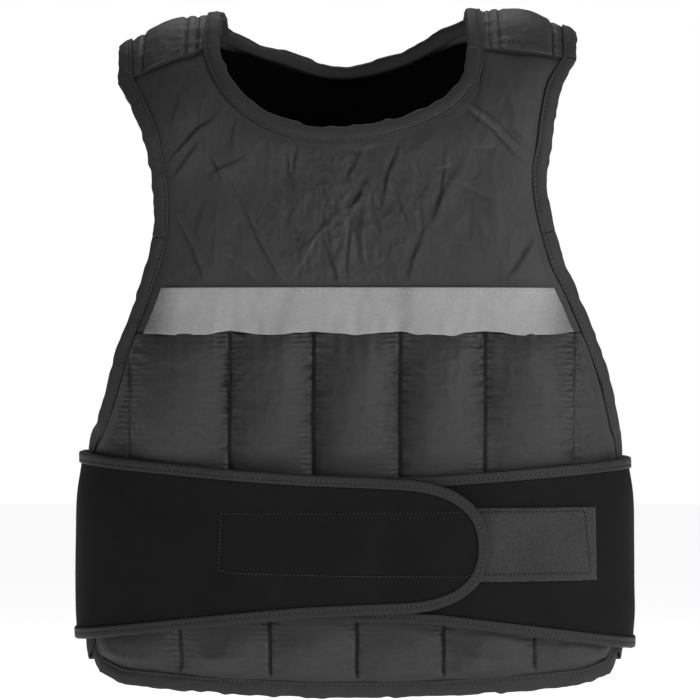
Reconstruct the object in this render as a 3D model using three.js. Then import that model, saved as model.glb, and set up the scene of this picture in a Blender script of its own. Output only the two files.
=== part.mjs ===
// A weighted vest: two padded nylon panels joined by shoulder pads and drawn in by a wide waist belt.
// Millimetres. The origin is where the vest rests on the shoulders, midway between the two pads.
// The front faces -y, x runs to the right as the front is seen, and z is up.

import * as THREE from "three";

// Hollow form that the cloth is shaped on
const bodyDrop = 502;          // shoulder rest down to the lowest point of the hem
const formHalfWidth = 199;     // middle line to the side, at the belt
const formFrontDepth = 106;    // middle of the hollow to the front, at the belt
const formBackDepth = 88;      // middle of the hollow to the back, at the belt
const formSquareness = 2.7;    // 2 is an ellipse in plan, higher is squarer
const capDrop = 110;           // the shoulders begin to curve over this far below the rest
const capRise = 5;             // top of the form above the rest

// Panels
const panelHalfWidth = formHalfWidth;   // the panels reach round to the sides
const backPanelInset = 4;      // the back panel is this much narrower at each side
const seamDrop = 234;          // shoulder rest down to the seam between chest and pockets
const chestThickness = 7;
const pocketThickness = 21;    // a full weight channel
const pocketSeamThickness = 7; // where a channel is sewn down
const lowerThickness = 17;
const hemCornerRadius = 32;
const hemRise = 8;             // the hem's ends are this much higher than its middle
const rimThickness = 3;        // a panel's edge inside its binding
const neckHalfWidth = 94;
const neckOffset = -9;         // the neckline sits a little to one side
const frontNeckDrop = 84;
const backNeckDrop = 32;
const liningThickness = 1;
const liningGap = 0.9;

// Shoulder pads
const padThickness = 8;
const yokeDrop = 50;           // scale for how far the pads reach down the panels

// Tape folded over each edge of the panels
const tapeThickness = 1.2;
const tapeWidth = 11;

// Reflective strip
const stripHeight = 33;
const stripThickness = 1;
const stripEndMargin = 7;      // between its ends and the tapes at the sides

// Waist belt
const beltThickness = 3;
const beltTapeThickness = 0.9;
const beltTapeWidth = 7.4;
const beltStandSide = 7;       // clear height between form and belt, at the sides
const beltStandFront = 13.5;   // the same over the pockets
const overTipLength = 117;     // how far back the over wing starts to narrow to its round end
const underTipLength = 40;
const wingLift = 7;            // how far the over wing rides above the under wing
const patchHeight = 54;
const patchThickness = 1;
const patchClearance = 0.5;
const beltMargin = 5;          // the channels are sewn down this far above and below the belt

// Clear space kept between neighbouring pieces
const clearance = 0.3;
const beltClearance = 0.8;

// The rims of the panels and of the belt stand this far off their forms, over the tape's inner leg
const rimLow = tapeThickness + clearance;
const rimHigh = rimLow + rimThickness;
const beltLow = beltTapeThickness + clearance;
const beltHigh = beltLow + beltThickness;

// The form's plan section, top to bottom. down is a share of bodyDrop, the others of the form's sizes.
const formSections = [
  { down: 0.22, width: 1.03, front: 0.90, back: 1.04 },
  { down: 0.30, width: 1.01, front: 0.97, back: 1.08 },
  { down: 0.45, width: 1.01, front: 1.02, back: 1.06 },
  { down: 0.55, width: 1.03, front: 1.02, back: 1.03 },
  { down: 0.65, width: 1.00, front: 1.01, back: 1.00 },
  { down: 0.80, width: 1.00, front: 1.00, back: 0.97 },
  { down: 1.00, width: 1.01, front: 0.93, back: 0.95 },
];

// Side edges of the panels. down is a share of bodyDrop, left and right of panelHalfWidth.
const sideEdges = [
  { down: 0.04, left: 0.900, right: 0.850 },
  { down: 0.10, left: 0.868, right: 0.770 },
  { down: 0.14, left: 0.815, right: 0.742 },
  { down: 0.18, left: 0.772, right: 0.728 },
  { down: 0.24, left: 0.745, right: 0.705 },
  { down: 0.31, left: 0.738, right: 0.732 },
  { down: 0.35, left: 0.755, right: 0.757 },
  { down: 0.43, left: 0.817, right: 0.843 },
  { down: 0.51, left: 0.892, right: 0.922 },
  { down: 0.56, left: 0.915, right: 0.955 },
  { down: 0.65, left: 0.980, right: 0.980 },
  { down: 0.80, left: 0.985, right: 0.985 },
  { down: 1.00, left: 0.985, right: 0.985 },
];

// Necklines, left to right. across is a share of neckHalfWidth, down of the neckline's own drop.
const frontNeckline = [
  { across: -1.000, down: 0.25 },
  { across: -0.947, down: 0.43 },
  { across: -0.872, down: 0.59 },
  { across: -0.720, down: 0.77 },
  { across: -0.570, down: 0.87 },
  { across: -0.415, down: 0.94 },
  { across: -0.150, down: 1.00 },
  { across: 0.128, down: 0.98 },
  { across: 0.294, down: 0.95 },
  { across: 0.571, down: 0.87 },
  { across: 0.865, down: 0.68 },
  { across: 0.983, down: 0.47 },
  { across: 1.005, down: 0.28 },
];
const backNeckline = [
  { across: -0.947, down: 0.12 },
  { across: -0.819, down: 0.28 },
  { across: -0.723, down: 0.46 },
  { across: -0.436, down: 0.66 },
  { across: -0.200, down: 0.91 },
  { across: -0.053, down: 1.00 },
  { across: 0.096, down: 0.97 },
  { across: 0.298, down: 0.81 },
  { across: 0.500, down: 0.66 },
  { across: 0.723, down: 0.34 },
  { across: 0.860, down: 0.14 },
  { across: 0.990, down: 0.03 },
];

// How the shoulders slope. start and end are shares of formHalfWidth, fall of yokeDrop.
const shoulderSlopes = {
  left: { start: 0.53, end: 0.89, fall: 0.56 },
  right: { start: 0.60, end: 0.85, fall: 0.40 },
};
const slopeCurve = 1.7;

// Arm end of each seam between a panel and a shoulder pad, as a share of yokeDrop
const armSeams = {
  front: { left: 0.98, right: 0.64 },
  back: { left: 0.48, right: 0.44 },
};

// Sewn lines between the weight channels, as shares of panelHalfWidth
const upperChannelSeams = [-0.85, -0.47, -0.155, 0.165, 0.485, 0.83];
const lowerChannelSeams = [-0.65, -0.315, 0.01, 0.33, 0.675];
const channelRoundness = 0.7;
const sliverFill = 0.12;       // how full the narrow ends beyond the last seams are

// Rows of the pocket panels: between which two levels, how full the channels are, and which seams they have
const pocketRows = [
  { from: "seam", to: "beltTop", share: 0, fill: 0, seams: "upper", belted: false },
  { from: "seam", to: "beltTop", share: 0.13, fill: 0.62, seams: "upper", belted: false },
  { from: "seam", to: "beltTop", share: 0.42, fill: 1, seams: "upper", belted: false },
  { from: "seam", to: "beltTop", share: 0.76, fill: 0.92, seams: "upper", belted: false },
  { from: "seam", to: "beltTop", share: 1, fill: 0.5, seams: "upper", belted: true },
  { from: "beltTop", to: "beltBottom", share: 0.5, fill: 0, seams: "lower", belted: true },
  { from: "beltTop", to: "beltBottom", share: 1, fill: 0.5, seams: "lower", belted: true },
  { from: "beltBottom", to: "hem", share: 0.5, fill: 1, seams: "lower", belted: false },
];

// Belt halves: heights as shares of bodyDrop, ends as shares of formHalfWidth
const wings = {
  left: { sideTop: 0.645, sideBottom: 0.922, frontTop: 0.679, frontBottom: 0.877, tip: 0.442 },
  right: { sideTop: 0.653, sideBottom: 0.936, frontTop: 0.683, frontBottom: 0.883, tip: -0.30 },
};
const beltCurve = 1.3;
const wingTips = { left: overTipLength, right: underTipLength };
const tipRoundness = 2.2;
const patchEnds = { hookFrom: -0.51, hookTo: 0.40, loopFrom: -0.20, loopTo: 0.865 };
const patchLevel = 0.777;      // height of the patches' middle line, as a share of bodyDrop
const liftEnds = { from: -0.62, to: -0.34 };

// How finely each piece is divided
const chestRows = 10;
const stripRows = 2;           // rows of the chest under the reflective strip
const armTapeRow = 4;          // the arm tape ends at this row and the hem tape begins
const neckSteps = 12;
const padSteps = 3;
const padRows = 6;
const lapSteps = 42;
const tipSteps = 6;
const tipMargin = 0.3;         // least gap, in steps, between the last lap division and the belt's tip
const sliverWidth = 3;         // least width of a pocket column at a side
const sideHold = 8;            // the higher, the fewer chest columns follow their side edge

const colours = {
  nylon: { color: 0x3d3d3f, roughness: 0.72, metalness: 0 },
  tape: { color: 0x38383a, roughness: 0.8, metalness: 0 },
  lining: { color: 0x08080a, roughness: 0.9, metalness: 0 },
  reflective: { color: 0x98989a, roughness: 0.38, metalness: 0.3 },
  neoprene: { color: 0x1e1e20, roughness: 0.85, metalness: 0 },
  loop: { color: 0x3f3f41, roughness: 1, metalness: 0 },
  hook: { color: 0x2a2a2c, roughness: 0.7, metalness: 0 },
};

const capScale = 100;          // millimetres of v for a radian round a shoulder
const beltTurn = 100;          // millimetres of u for a radian round the belt
const probe = 0.05;            // step for measuring slopes
const edgeShare = 0.995;       // shares are held just short of 1, where the form is seen edge on
const ridgeReach = 1.2;        // the shoulder slope runs on to this share of its length
const levelBand = 1;           // within this of the pocket seam the panels stand off level

// Smooth curve through the rows of a table
function read(rows, key, column, at) {
  const last = rows.length - 1;
  const place = Math.min(Math.max(at, rows[0][key]), rows[last][key]);
  let i = 0;
  while (i < last - 1 && place > rows[i + 1][key]) {
    i += 1;
  }
  const slope = (a, b) => (rows[b][column] - rows[a][column]) / (rows[b][key] - rows[a][key]);
  const span = rows[i + 1][key] - rows[i][key];
  const t = (place - rows[i][key]) / span;
  const enter = slope(Math.max(i - 1, 0), i + 1) * span;
  const leave = slope(i, Math.min(i + 2, last)) * span;
  const from = rows[i][column];
  const to = rows[i + 1][column];
  const blend = t * t * (3 - 2 * t);
  return from + (to - from) * blend + enter * t * (1 - t) * (1 - t) - leave * t * t * (1 - t);
}

function mix(from, to, share) {
  return from + (to - from) * share;
}

function smooth(from, to, at) {
  const t = Math.min(Math.max((at - from) / (to - from), 0), 1);
  return t * t * (3 - 2 * t);
}

// How deep the plan section is at a share of its half width
function sectionDepth(share) {
  const inside = Math.min(Math.abs(share), edgeShare);
  return (1 - inside ** formSquareness) ** (1 / formSquareness);
}

function formWidth(z) {
  return formHalfWidth * read(formSections, "down", "width", -z / bodyDrop);
}

function formDepth(side, z) {
  const depth = side === "front" ? formFrontDepth : formBackDepth;
  return depth * read(formSections, "down", side, -z / bodyDrop);
}

// Height of the form's ridge over a shoulder
function ridge(x) {
  const slope = x < 0 ? shoulderSlopes.left : shoulderSlopes.right;
  const start = slope.start * formHalfWidth;
  const end = slope.end * formHalfWidth;
  const share = Math.min(Math.max((Math.abs(x) - start) / (end - start), 0), ridgeReach);
  return capRise - slope.fall * yokeDrop * share ** slopeCurve;
}

// A form is a surface: at(u, v) gives its points, and facing is 1 where u across v points outwards.
function panelForm(side) {
  const facing = side === "front" ? 1 : -1;
  const at = (x, z) => {
    const climb = Math.max(z + capDrop, 0) / (ridge(x) + capDrop);
    const lean = Math.sqrt(Math.max(1 - climb * climb, 0));
    const low = Math.min(z, -capDrop);
    const y = -facing * formDepth(side, low) * sectionDepth(x / formWidth(low)) * lean;
    return new THREE.Vector3(x, y, z);
  };
  return { at, facing, side, levelAt: -seamDrop };
}

// Over the shoulders v runs from the front to the back.
const capForm = {
  facing: 1,
  at: (x, v) => {
    const turn = v / capScale;
    const side = turn < Math.PI / 2 ? "front" : "back";
    const z = -capDrop + (ridge(x) + capDrop) * Math.sin(turn);
    const y = -formDepth(side, -capDrop) * sectionDepth(x / formWidth(-capDrop)) * Math.cos(turn);
    return new THREE.Vector3(x, y, z);
  },
};

function capPlace(side, x, z) {
  const turn = Math.asin(Math.min((z + capDrop) / (ridge(x) + capDrop), edgeShare));
  return { u: x, v: capScale * (side === "front" ? turn : Math.PI - turn) };
}

function frameAt(form, place) {
  const { u, v } = place;
  const point = form.at(u, v);
  const du = form.at(u + probe, v).sub(form.at(u - probe, v)).divideScalar(2 * probe);
  const dv = form.at(u, v + probe).sub(form.at(u, v - probe)).divideScalar(2 * probe);
  const across = du.clone().cross(dv).normalize();
  const normal = across.clone().multiplyScalar(form.facing);
  if (form.levelAt !== undefined && Math.abs(v - form.levelAt) < levelBand) {
    normal.setZ(0).normalize();
  }
  return { point, du, dv, across, normal };
}

function raised(form, place, height) {
  const frame = frameAt(form, place);
  return frame.point.addScaledVector(frame.normal, height);
}

// Moves a place along the surface by a real distance, in a direction given in three dimensions
function slide(form, place, heading, distance) {
  const steps = 3;
  let { u, v } = place;
  for (let i = 0; i < steps; i += 1) {
    const { du, dv } = frameAt(form, { u, v });
    const a = du.dot(du);
    const b = du.dot(dv);
    const c = dv.dot(dv);
    const alongU = heading.dot(du);
    const alongV = heading.dot(dv);
    const scale = distance / steps / (a * c - b * b);
    const stepU = (alongU * c - alongV * b) * scale;
    const stepV = (alongV * a - alongU * b) * scale;
    u += stepU;
    v += stepV;
  }
  return { u, v };
}

// A station pairs a place on a panel's edge with the place where its binding's inner seam runs.
// An outline is walked clockwise, so the panel lies to the right of the direction tu, tv.
function station(form, edge, tu, tv, width) {
  const { du, dv, across } = frameAt(form, edge);
  const along = du.clone().multiplyScalar(tu).addScaledVector(dv, tv).normalize();
  return { edge, seam: slide(form, edge, along.cross(across), width) };
}

function between(from, to, share) {
  return { u: mix(from.u, to.u, share), v: mix(from.v, to.v, share) };
}

// The place a real distance from one place towards another
function towards(form, from, to, distance) {
  const start = form.at(from.u, from.v);
  const first = between(from, to, 0.1);
  const share = 0.1 * distance / start.distanceTo(form.at(first.u, first.v));
  const near = between(from, to, share);
  const reached = start.distanceTo(form.at(near.u, near.v));
  return between(from, to, share * distance / reached);
}

// A station whose band points straight at another place, so that a tape ends flush with a seam
function stationTowards(form, edge, target, width) {
  return { edge, seam: towards(form, edge, target, width) };
}

// A quilt is a wall between an inner and an outer height over a form, closed along its own border.
class Quilt {
  constructor(form) {
    this.form = form;
    this.inner = [];
    this.outer = [];
    this.faces = [];
  }

  spot(place, low, high) {
    this.inner.push(raised(this.form, place, low));
    this.outer.push(raised(this.form, place, high));
    return this.inner.length - 1;
  }

  // Corners run anticlockwise in u and v. Corners that fall together are passed over.
  face(corners) {
    const kept = corners.filter((corner, i) => corner !== corners[(i + 1) % corners.length]);
    for (let i = 1; i + 1 < kept.length; i += 1) {
      this.faces.push([kept[0], kept[i], kept[i + 1]]);
    }
  }

  grid(rows) {
    for (let j = 0; j + 1 < rows.length; j += 1) {
      for (let k = 0; k + 1 < rows[j].length; k += 1) {
        this.face([rows[j][k], rows[j][k + 1], rows[j + 1][k + 1], rows[j + 1][k]]);
      }
    }
  }

  // The strip between an edge and the seam of its binding, both walked clockwise
  band(edges, seams) {
    for (let i = 0; i + 1 < edges.length; i += 1) {
      this.face([edges[i], seams[i], seams[i + 1], edges[i + 1]]);
    }
  }

  geometry() {
    const points = [...this.inner, ...this.outer];
    const lift = this.inner.length;
    const triangles = [];
    const used = new Set();
    for (const [a, b, c] of this.faces) {
      triangles.push([a + lift, b + lift, c + lift], [c, b, a]);
      used.add(`${a} ${b}`).add(`${b} ${c}`).add(`${c} ${a}`);
    }
    for (const edge of used) {
      const [a, b] = edge.split(" ").map(Number);
      if (!used.has(`${b} ${a}`)) {
        triangles.push([b + lift, a + lift, a], [b + lift, a, b]);
      }
    }
    return solid(points, triangles);
  }
}

// A geometry with its faces turned outwards
function solid(points, triangles) {
  let volume = 0;
  for (const [a, b, c] of triangles) {
    volume += points[a].dot(points[b].clone().cross(points[c]));
  }
  const index = triangles.flatMap(([a, b, c]) => (volume > 0 ? [a, b, c] : [a, c, b]));
  const geometry = new THREE.BufferGeometry();
  geometry.setAttribute("position", new THREE.Float32BufferAttribute(points.flatMap((p) => p.toArray()), 3));
  geometry.setIndex(index);
  geometry.computeVertexNormals();
  return geometry;
}

// Section of a tape folded over a rim: two legs and a fold, measured from the rim's edge or its seam
function tapeProfile(rimLow, rimHigh, thickness) {
  const inLow = rimLow - clearance;
  const inHigh = rimHigh + clearance;
  const low = inLow - thickness;
  const high = inHigh + thickness;
  const fold = clearance + thickness;
  return [
    { at: "seam", out: clearance, rise: high },
    { at: "edge", out: 0, rise: high },
    { at: "edge", out: fold, rise: high - thickness },
    { at: "edge", out: fold, rise: low + thickness },
    { at: "edge", out: 0, rise: low },
    { at: "seam", out: clearance, rise: low },
    { at: "seam", out: clearance, rise: inLow },
    { at: "edge", out: clearance, rise: inLow },
    { at: "edge", out: clearance, rise: inHigh },
    { at: "seam", out: clearance, rise: inHigh },
  ];
}

// A tape sewn along a run of stations. Its two ends stop short by half the clearance.
function tape(form, stations, profile, width) {
  const sections = stations.map(({ edge, seam }) => {
    const frames = { edge: frameAt(form, edge), seam: frameAt(form, seam) };
    const reach = frames.edge.point.clone().sub(frames.seam.point);
    return profile.map(({ at, out, rise }) => {
      const { point, normal } = frames[at];
      const outwards = reach.clone().addScaledVector(normal, -reach.dot(normal)).normalize();
      return point.clone().addScaledVector(outwards, out).addScaledVector(normal, rise);
    });
  });
  const shorten = (end, next) => {
    end.forEach((point, i) => {
      const step = next[i].clone().sub(point);
      point.addScaledVector(step.normalize(), clearance / 2);
    });
  };
  shorten(sections[0], sections[1]);
  shorten(sections[sections.length - 1], sections[sections.length - 2]);
  const count = profile.length;
  const triangles = [];
  for (let i = 0; i + 1 < sections.length; i += 1) {
    for (let k = 0; k < count; k += 1) {
      const next = (k + 1) % count;
      const corners = [k, k + count, next + count, next].map((corner) => corner + i * count);
      const [a, b, c, d] = corners;
      if (profile[k].at === "seam" && profile[next].at === "edge") {
        triangles.push([a, b, d], [b, c, d]);
      } else {
        triangles.push([a, b, c], [a, c, d]);
      }
    }
  }
  const flat = profile.map(({ at, out, rise }) => new THREE.Vector2(at === "edge" ? width + out : out, rise));
  const last = (sections.length - 1) * count;
  const turn = Math.sign(THREE.ShapeUtils.area(flat));
  for (const corners of THREE.ShapeUtils.triangulateShape(flat, [])) {
    const same = Math.sign(THREE.ShapeUtils.area(corners.map((corner) => flat[corner]))) === turn;
    const cap = same ? corners : [...corners].reverse();
    triangles.push(cap, cap.map((corner) => corner + last).reverse());
  }
  return solid(sections.flat(), triangles);
}

// Side edges and necklines of the two panels
function sideX(hand, z, inset) {
  const reach = panelHalfWidth * read(sideEdges, "down", hand, -z / bodyDrop) - inset;
  return hand === "left" ? -reach : reach;
}

function sideStation(form, hand, z) {
  const inset = form.side === "back" ? backPanelInset : 0;
  const slope = (sideX(hand, z + probe, inset) - sideX(hand, z - probe, inset)) / (2 * probe);
  const up = hand === "left" ? 1 : -1;
  return station(form, { u: sideX(hand, z, inset), v: z }, slope * up, up, tapeWidth);
}

function neckCurve(side) {
  const rows = side === "front" ? frontNeckline : backNeckline;
  const drop = side === "front" ? frontNeckDrop : backNeckDrop;
  const points = rows.map(({ across, down }) => {
    return new THREE.Vector2(neckOffset + across * neckHalfWidth, -down * drop);
  });
  return new THREE.SplineCurve(points);
}

// The seam between a panel and a pad, from the arm edge to the neck edge
function yokeSeam(form, hand) {
  const inset = form.side === "back" ? backPanelInset : 0;
  const armZ = -yokeDrop * armSeams[form.side][hand];
  const arm = { u: sideX(hand, armZ, inset), v: armZ };
  const end = neckCurve(form.side).getPointAt(hand === "left" ? 0 : 1);
  const neck = { u: end.x, v: end.y };
  const inner = towards(form, arm, neck, tapeWidth);
  const outer = towards(form, neck, arm, tapeWidth);
  const places = [arm];
  for (let i = 0; i <= padSteps; i += 1) {
    places.push(between(inner, outer, i / padSteps));
  }
  places.push(neck);
  return places;
}

// A chest or upper back panel: rows of places from the pocket seam up to the neckline and shoulders
function chestPlan(side) {
  const form = panelForm(side);
  const neck = neckCurve(side);
  const stripTop = stripHeight - seamDrop;
  const seams = {};
  const sides = {};
  for (const hand of ["left", "right"]) {
    seams[hand] = yokeSeam(form, hand).map(({ u, v }) => ({ u, v: v - clearance / 2 }));
    const [arm, inner] = seams[hand];
    sides[hand] = [];
    for (let j = 0; j < chestRows; j += 1) {
      const low = mix(clearance / 2 - seamDrop, stripTop, j / stripRows);
      const high = mix(stripTop, arm.v, (j - stripRows) / (chestRows - stripRows));
      const z = j <= stripRows ? low : high;
      const place = sideStation(form, hand, z);
      const level = stationTowards(form, place.edge, { u: 0, v: z }, tapeWidth);
      sides[hand].push(j <= stripRows ? level : place);
    }
    sides[hand].push({ edge: arm, seam: inner });
  }
  const necks = [];
  for (let i = 1; i < neckSteps; i += 1) {
    const point = neck.getPointAt(i / neckSteps);
    const along = neck.getTangentAt(i / neckSteps);
    necks.push(station(form, { u: point.x, v: point.y }, along.x, along.y, tapeWidth));
  }
  const inner = (hand) => seams[hand].slice(1, -1);
  const top = [...inner("left"), ...necks.map(({ seam }) => seam), ...inner("right").reverse()];
  const corner = (hand) => {
    const [seam, edge] = seams[hand].slice(-2);
    return { edge, seam };
  };
  const last = top.length - 1;
  // Only the columns near a side follow its curve
  const hold = (share) => share ** sideHold;
  const shares = top.map(({ u }, k) => mix((u - top[0].u) / (top[last].u - top[0].u), k / last, 0.5));
  const rows = [];
  for (let j = 0; j < chestRows; j += 1) {
    const [from, to] = [sides.left[j].seam, sides.right[j].seam];
    if (j <= stripRows) {
      rows.push(shares.map((share) => between(from, to, share)));
    } else {
      const t = (j - stripRows) / (chestRows - stripRows);
      const lines = shares.map((share, k) => between(rows[stripRows][k], top[k], t));
      rows.push(lines.map(({ u, v }, k) => ({
        u: u + (from.u - lines[0].u) * hold(1 - shares[k]) + (to.u - lines[last].u) * hold(shares[k]),
        v: v + (from.v - lines[0].v) * hold(1 - shares[k]) + (to.v - lines[last].v) * hold(shares[k]),
      })));
    }
  }
  rows.push(top);
  const neckRun = [corner("left"), ...necks, corner("right")];
  return { form, rows, sides, neckRun };
}

// Whether a place of a chest panel lies on the seam of a binding
function onChestRim(j, k, rows) {
  const last = rows[j].length - 1;
  const atNeck = j === chestRows && k >= padSteps && k <= last - padSteps;
  return k === 0 || k === last || atNeck;
}

function chestPiece({ form, rows, sides, neckRun }) {
  const quilt = new Quilt(form);
  const ids = rows.map((row, j) => row.map((place, k) => {
    const rim = onChestRim(j, k, rows);
    const full = j === 0 ? pocketSeamThickness : chestThickness;
    return quilt.spot(place, rim ? rimLow : 0, rim ? rimHigh : full);
  }));
  quilt.grid(ids);
  const rim = ({ edge }) => quilt.spot(edge, rimLow, rimHigh);
  quilt.band(sides.left.map(rim), ids.map((row) => row[0]));
  quilt.band(sides.right.map(rim).reverse(), ids.map((row) => row[row.length - 1]).reverse());
  const top = ids[chestRows];
  quilt.band(neckRun.map(rim), top.slice(padSteps, top.length - padSteps));
  return quilt.geometry();
}

// The reflective band lies on the lowest rows of the chest
function stripPiece({ form, rows }) {
  const quilt = new Quilt(form);
  const ids = rows.slice(0, stripRows + 1).map((row, j) => {
    const full = j === 0 ? pocketSeamThickness : chestThickness;
    const thickness = row.map((place, k) => (onChestRim(j, k, rows) ? rimHigh : full));
    return row.map((place, k) => {
      const next = { [0]: 1, [row.length - 1]: row.length - 2 }[k] ?? k;
      const share = next === k ? 0 : stripEndMargin / Math.abs(row[next].u - place.u);
      const seat = mix(thickness[k], thickness[next], share) + clearance;
      return quilt.spot(between(place, row[next], share), seat, seat + stripThickness);
    });
  });
  quilt.grid(ids);
  return quilt.geometry();
}

// Thin cloth inside the back, which shows through the neck opening
function liningPiece({ form, rows }) {
  const quilt = new Quilt(form);
  const everyOther = (item, i) => i % 2 === 0;
  const ids = rows.filter(everyOther).map((row) => row.filter(everyOther).map((place) => {
    return quilt.spot(place, -liningGap - liningThickness, -liningGap);
  }));
  quilt.grid(ids);
  return quilt.geometry();
}

// Heights of the belt's two edges over the front, by how far round to the side a place is
function wingEdges(wing, around) {
  const share = Math.min(Math.abs(around), 1) ** beltCurve;
  return {
    top: -bodyDrop * mix(wing.frontTop, wing.sideTop, share),
    bottom: -bodyDrop * mix(wing.frontBottom, wing.sideBottom, share),
  };
}

function beltStand(around) {
  return mix(beltStandSide, beltStandFront, sectionDepth(around));
}

// The hem: level, with a round corner at each side
const hemCentre = {
  across: panelHalfWidth * sideEdges[sideEdges.length - 1].left - hemCornerRadius,
  height: hemRise + hemCornerRadius - bodyDrop,
};

function hemZ(x, inset) {
  const reach = Math.max(Math.abs(x) + inset - hemCentre.across, 0);
  const corner = hemCornerRadius - Math.sqrt(Math.max(hemCornerRadius ** 2 - reach ** 2, 0));
  return -bodyDrop + hemRise * Math.min(Math.abs(x) / hemCentre.across, 1) ** 2 + corner;
}

// Heights between which the pocket rows lie, at a place across the panel
function pocketLevels(side, x, inset) {
  const around = side === "front" ? x / panelHalfWidth : 1;
  const [left, right] = [wingEdges(wings.left, around), wingEdges(wings.right, around)];
  return {
    seam: -seamDrop - clearance / 2,
    beltTop: Math.max(left.top, right.top) + beltMargin,
    beltBottom: Math.min(left.bottom, right.bottom) - beltMargin,
    hem: hemZ(x, inset) + tapeWidth,
  };
}

// Shares of the half width where the columns stand, each with its channel's crown in both sets
function pocketColumns() {
  const stitched = [...upperChannelSeams, ...lowerChannelSeams].sort((a, b) => a - b);
  const shares = stitched.flatMap((share, i) => (i ? [(stitched[i - 1] + share) / 2, share] : [share]));
  const outermost = [(stitched[0] - 1) / 2, (stitched[stitched.length - 1] + 1) / 2];
  const crown = (seams, share) => {
    const i = seams.findIndex((seam) => seam > share);
    if (i < 1) {
      return share === seams[seams.length - 1] ? 0 : sliverFill;
    }
    const along = (share - seams[i - 1]) / (seams[i] - seams[i - 1]);
    return Math.sin(Math.PI * along) ** channelRoundness;
  };
  return [outermost[0], ...shares, outermost[1]].map((share) => ({
    share,
    upper: crown(upperChannelSeams, share),
    lower: crown(lowerChannelSeams, share),
  }));
}

// A pocket panel: an upper row of weight channels and a lower row half a channel out of step
function pocketPlan(side) {
  const form = panelForm(side);
  const inset = side === "back" ? backPanelInset : 0;
  const columns = pocketColumns();
  const count = columns.length;
  const sides = {};
  for (const hand of ["left", "right"]) {
    const towardsSide = hand === "left" ? -1 : 1;
    const levels = pocketLevels(side, towardsSide * panelHalfWidth, inset);
    sides[hand] = pocketRows.map(({ from, to, share }, j) => {
      const z = mix(levels[from], levels[to], share);
      const place = sideStation(form, hand, z);
      if (j === 0) {
        return stationTowards(form, place.edge, { u: 0, v: z }, tapeWidth);
      }
      const sink = Math.max(hemCentre.height - z, 0);
      const edge = { u: place.edge.u, v: z };
      edge.u -= towardsSide * (hemCornerRadius - Math.sqrt(hemCornerRadius ** 2 - sink ** 2));
      const slope = sink / Math.sqrt(hemCornerRadius ** 2 - sink ** 2);
      return sink > 0 ? station(form, edge, -slope, -towardsSide, tapeWidth) : place;
    });
    const diagonal = hemCornerRadius * Math.SQRT1_2;
    const corner = {
      u: towardsSide * (hemCentre.across + diagonal - inset),
      v: hemCentre.height - diagonal,
    };
    sides[hand].push(station(form, corner, -1, -towardsSide, tapeWidth));
  }
  const hem = columns.map(({ share }) => {
    const x = share * (panelHalfWidth - inset);
    const slope = (hemZ(x + probe, inset) - hemZ(x - probe, inset)) / (2 * probe);
    return station(form, { u: x, v: hemZ(x, inset) }, -1, -slope, tapeWidth);
  });
  const rows = pocketRows.map(({ from, to, share }, j) => {
    const [low, high] = [sides.left[j].seam, sides.right[j].seam];
    const middle = columns.map((column, k) => {
      const free = column.share * (panelHalfWidth - inset);
      const right = high.u - sliverWidth * (count - k);
      const x = Math.min(Math.max(free, low.u + sliverWidth * (k + 1)), right);
      const levels = pocketLevels(side, x, inset);
      return { u: x, v: mix(levels[from], levels[to], share) };
    });
    return [low, ...middle, high];
  });
  const ends = [sides.left[pocketRows.length].seam, sides.right[pocketRows.length].seam];
  rows.push([ends[0], ...hem.map(({ seam }) => seam), ends[1]]);
  return { form, rows, sides, hem, columns };
}

function pocketPiece({ form, rows, sides, hem, columns }) {
  const quilt = new Quilt(form);
  const ids = rows.map((row, j) => row.map((place, k) => {
    const column = columns[k - 1];
    if (!column || j === pocketRows.length) {
      return quilt.spot(place, rimLow, rimHigh);
    }
    const { fill, seams, belted } = pocketRows[j];
    const full = seams === "upper" ? pocketThickness : lowerThickness;
    const puffed = mix(pocketSeamThickness, full, fill * column[seams]);
    const limit = beltStand(place.u / formHalfWidth) - beltClearance;
    return quilt.spot(place, 0, belted ? Math.min(puffed, limit) : puffed);
  }));
  quilt.grid([...ids].reverse());
  const rim = ({ edge }) => quilt.spot(edge, rimLow, rimHigh);
  const bottom = ids[pocketRows.length];
  const left = ids.map((row) => row[0]).reverse();
  const right = ids.map((row) => row[row.length - 1]);
  const run = [...sides.right, ...[...hem].reverse(), ...[...sides.left].reverse()];
  quilt.band(run.map(rim), [...right, ...bottom.slice(1, -1).reverse(), ...left]);
  return quilt.geometry();
}

// A shoulder pad spans the two seams, with a thin rim along its neck and arm edges
function padPlan(hand) {
  const ends = {};
  for (const side of ["front", "back"]) {
    const shift = side === "front" ? clearance / 2 : -clearance / 2;
    ends[side] = yokeSeam(panelForm(side), hand).map((place) => {
      const { u, v } = capPlace(side, place.u, place.v);
      return { u, v: v + shift };
    });
  }
  const rows = [];
  for (let j = 0; j <= padRows; j += 1) {
    rows.push(ends.front.map((place, k) => between(place, ends.back[k], j / padRows)));
  }
  const last = ends.front.length - 1;
  const edge = rows.map((row) => ({ edge: row[0], seam: row[1] }));
  const neck = rows.map((row) => ({ edge: row[last], seam: row[last - 1] })).reverse();
  return { rows, arm: edge, neck };
}

function padPiece({ rows }) {
  const quilt = new Quilt(capForm);
  const ids = rows.map((row) => row.map((place, k) => {
    const rim = k <= 1 || k >= row.length - 2;
    return quilt.spot(place, rim ? rimLow : 0, rim ? rimHigh : padThickness);
  }));
  quilt.grid(ids);
  return quilt.geometry();
}

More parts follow.
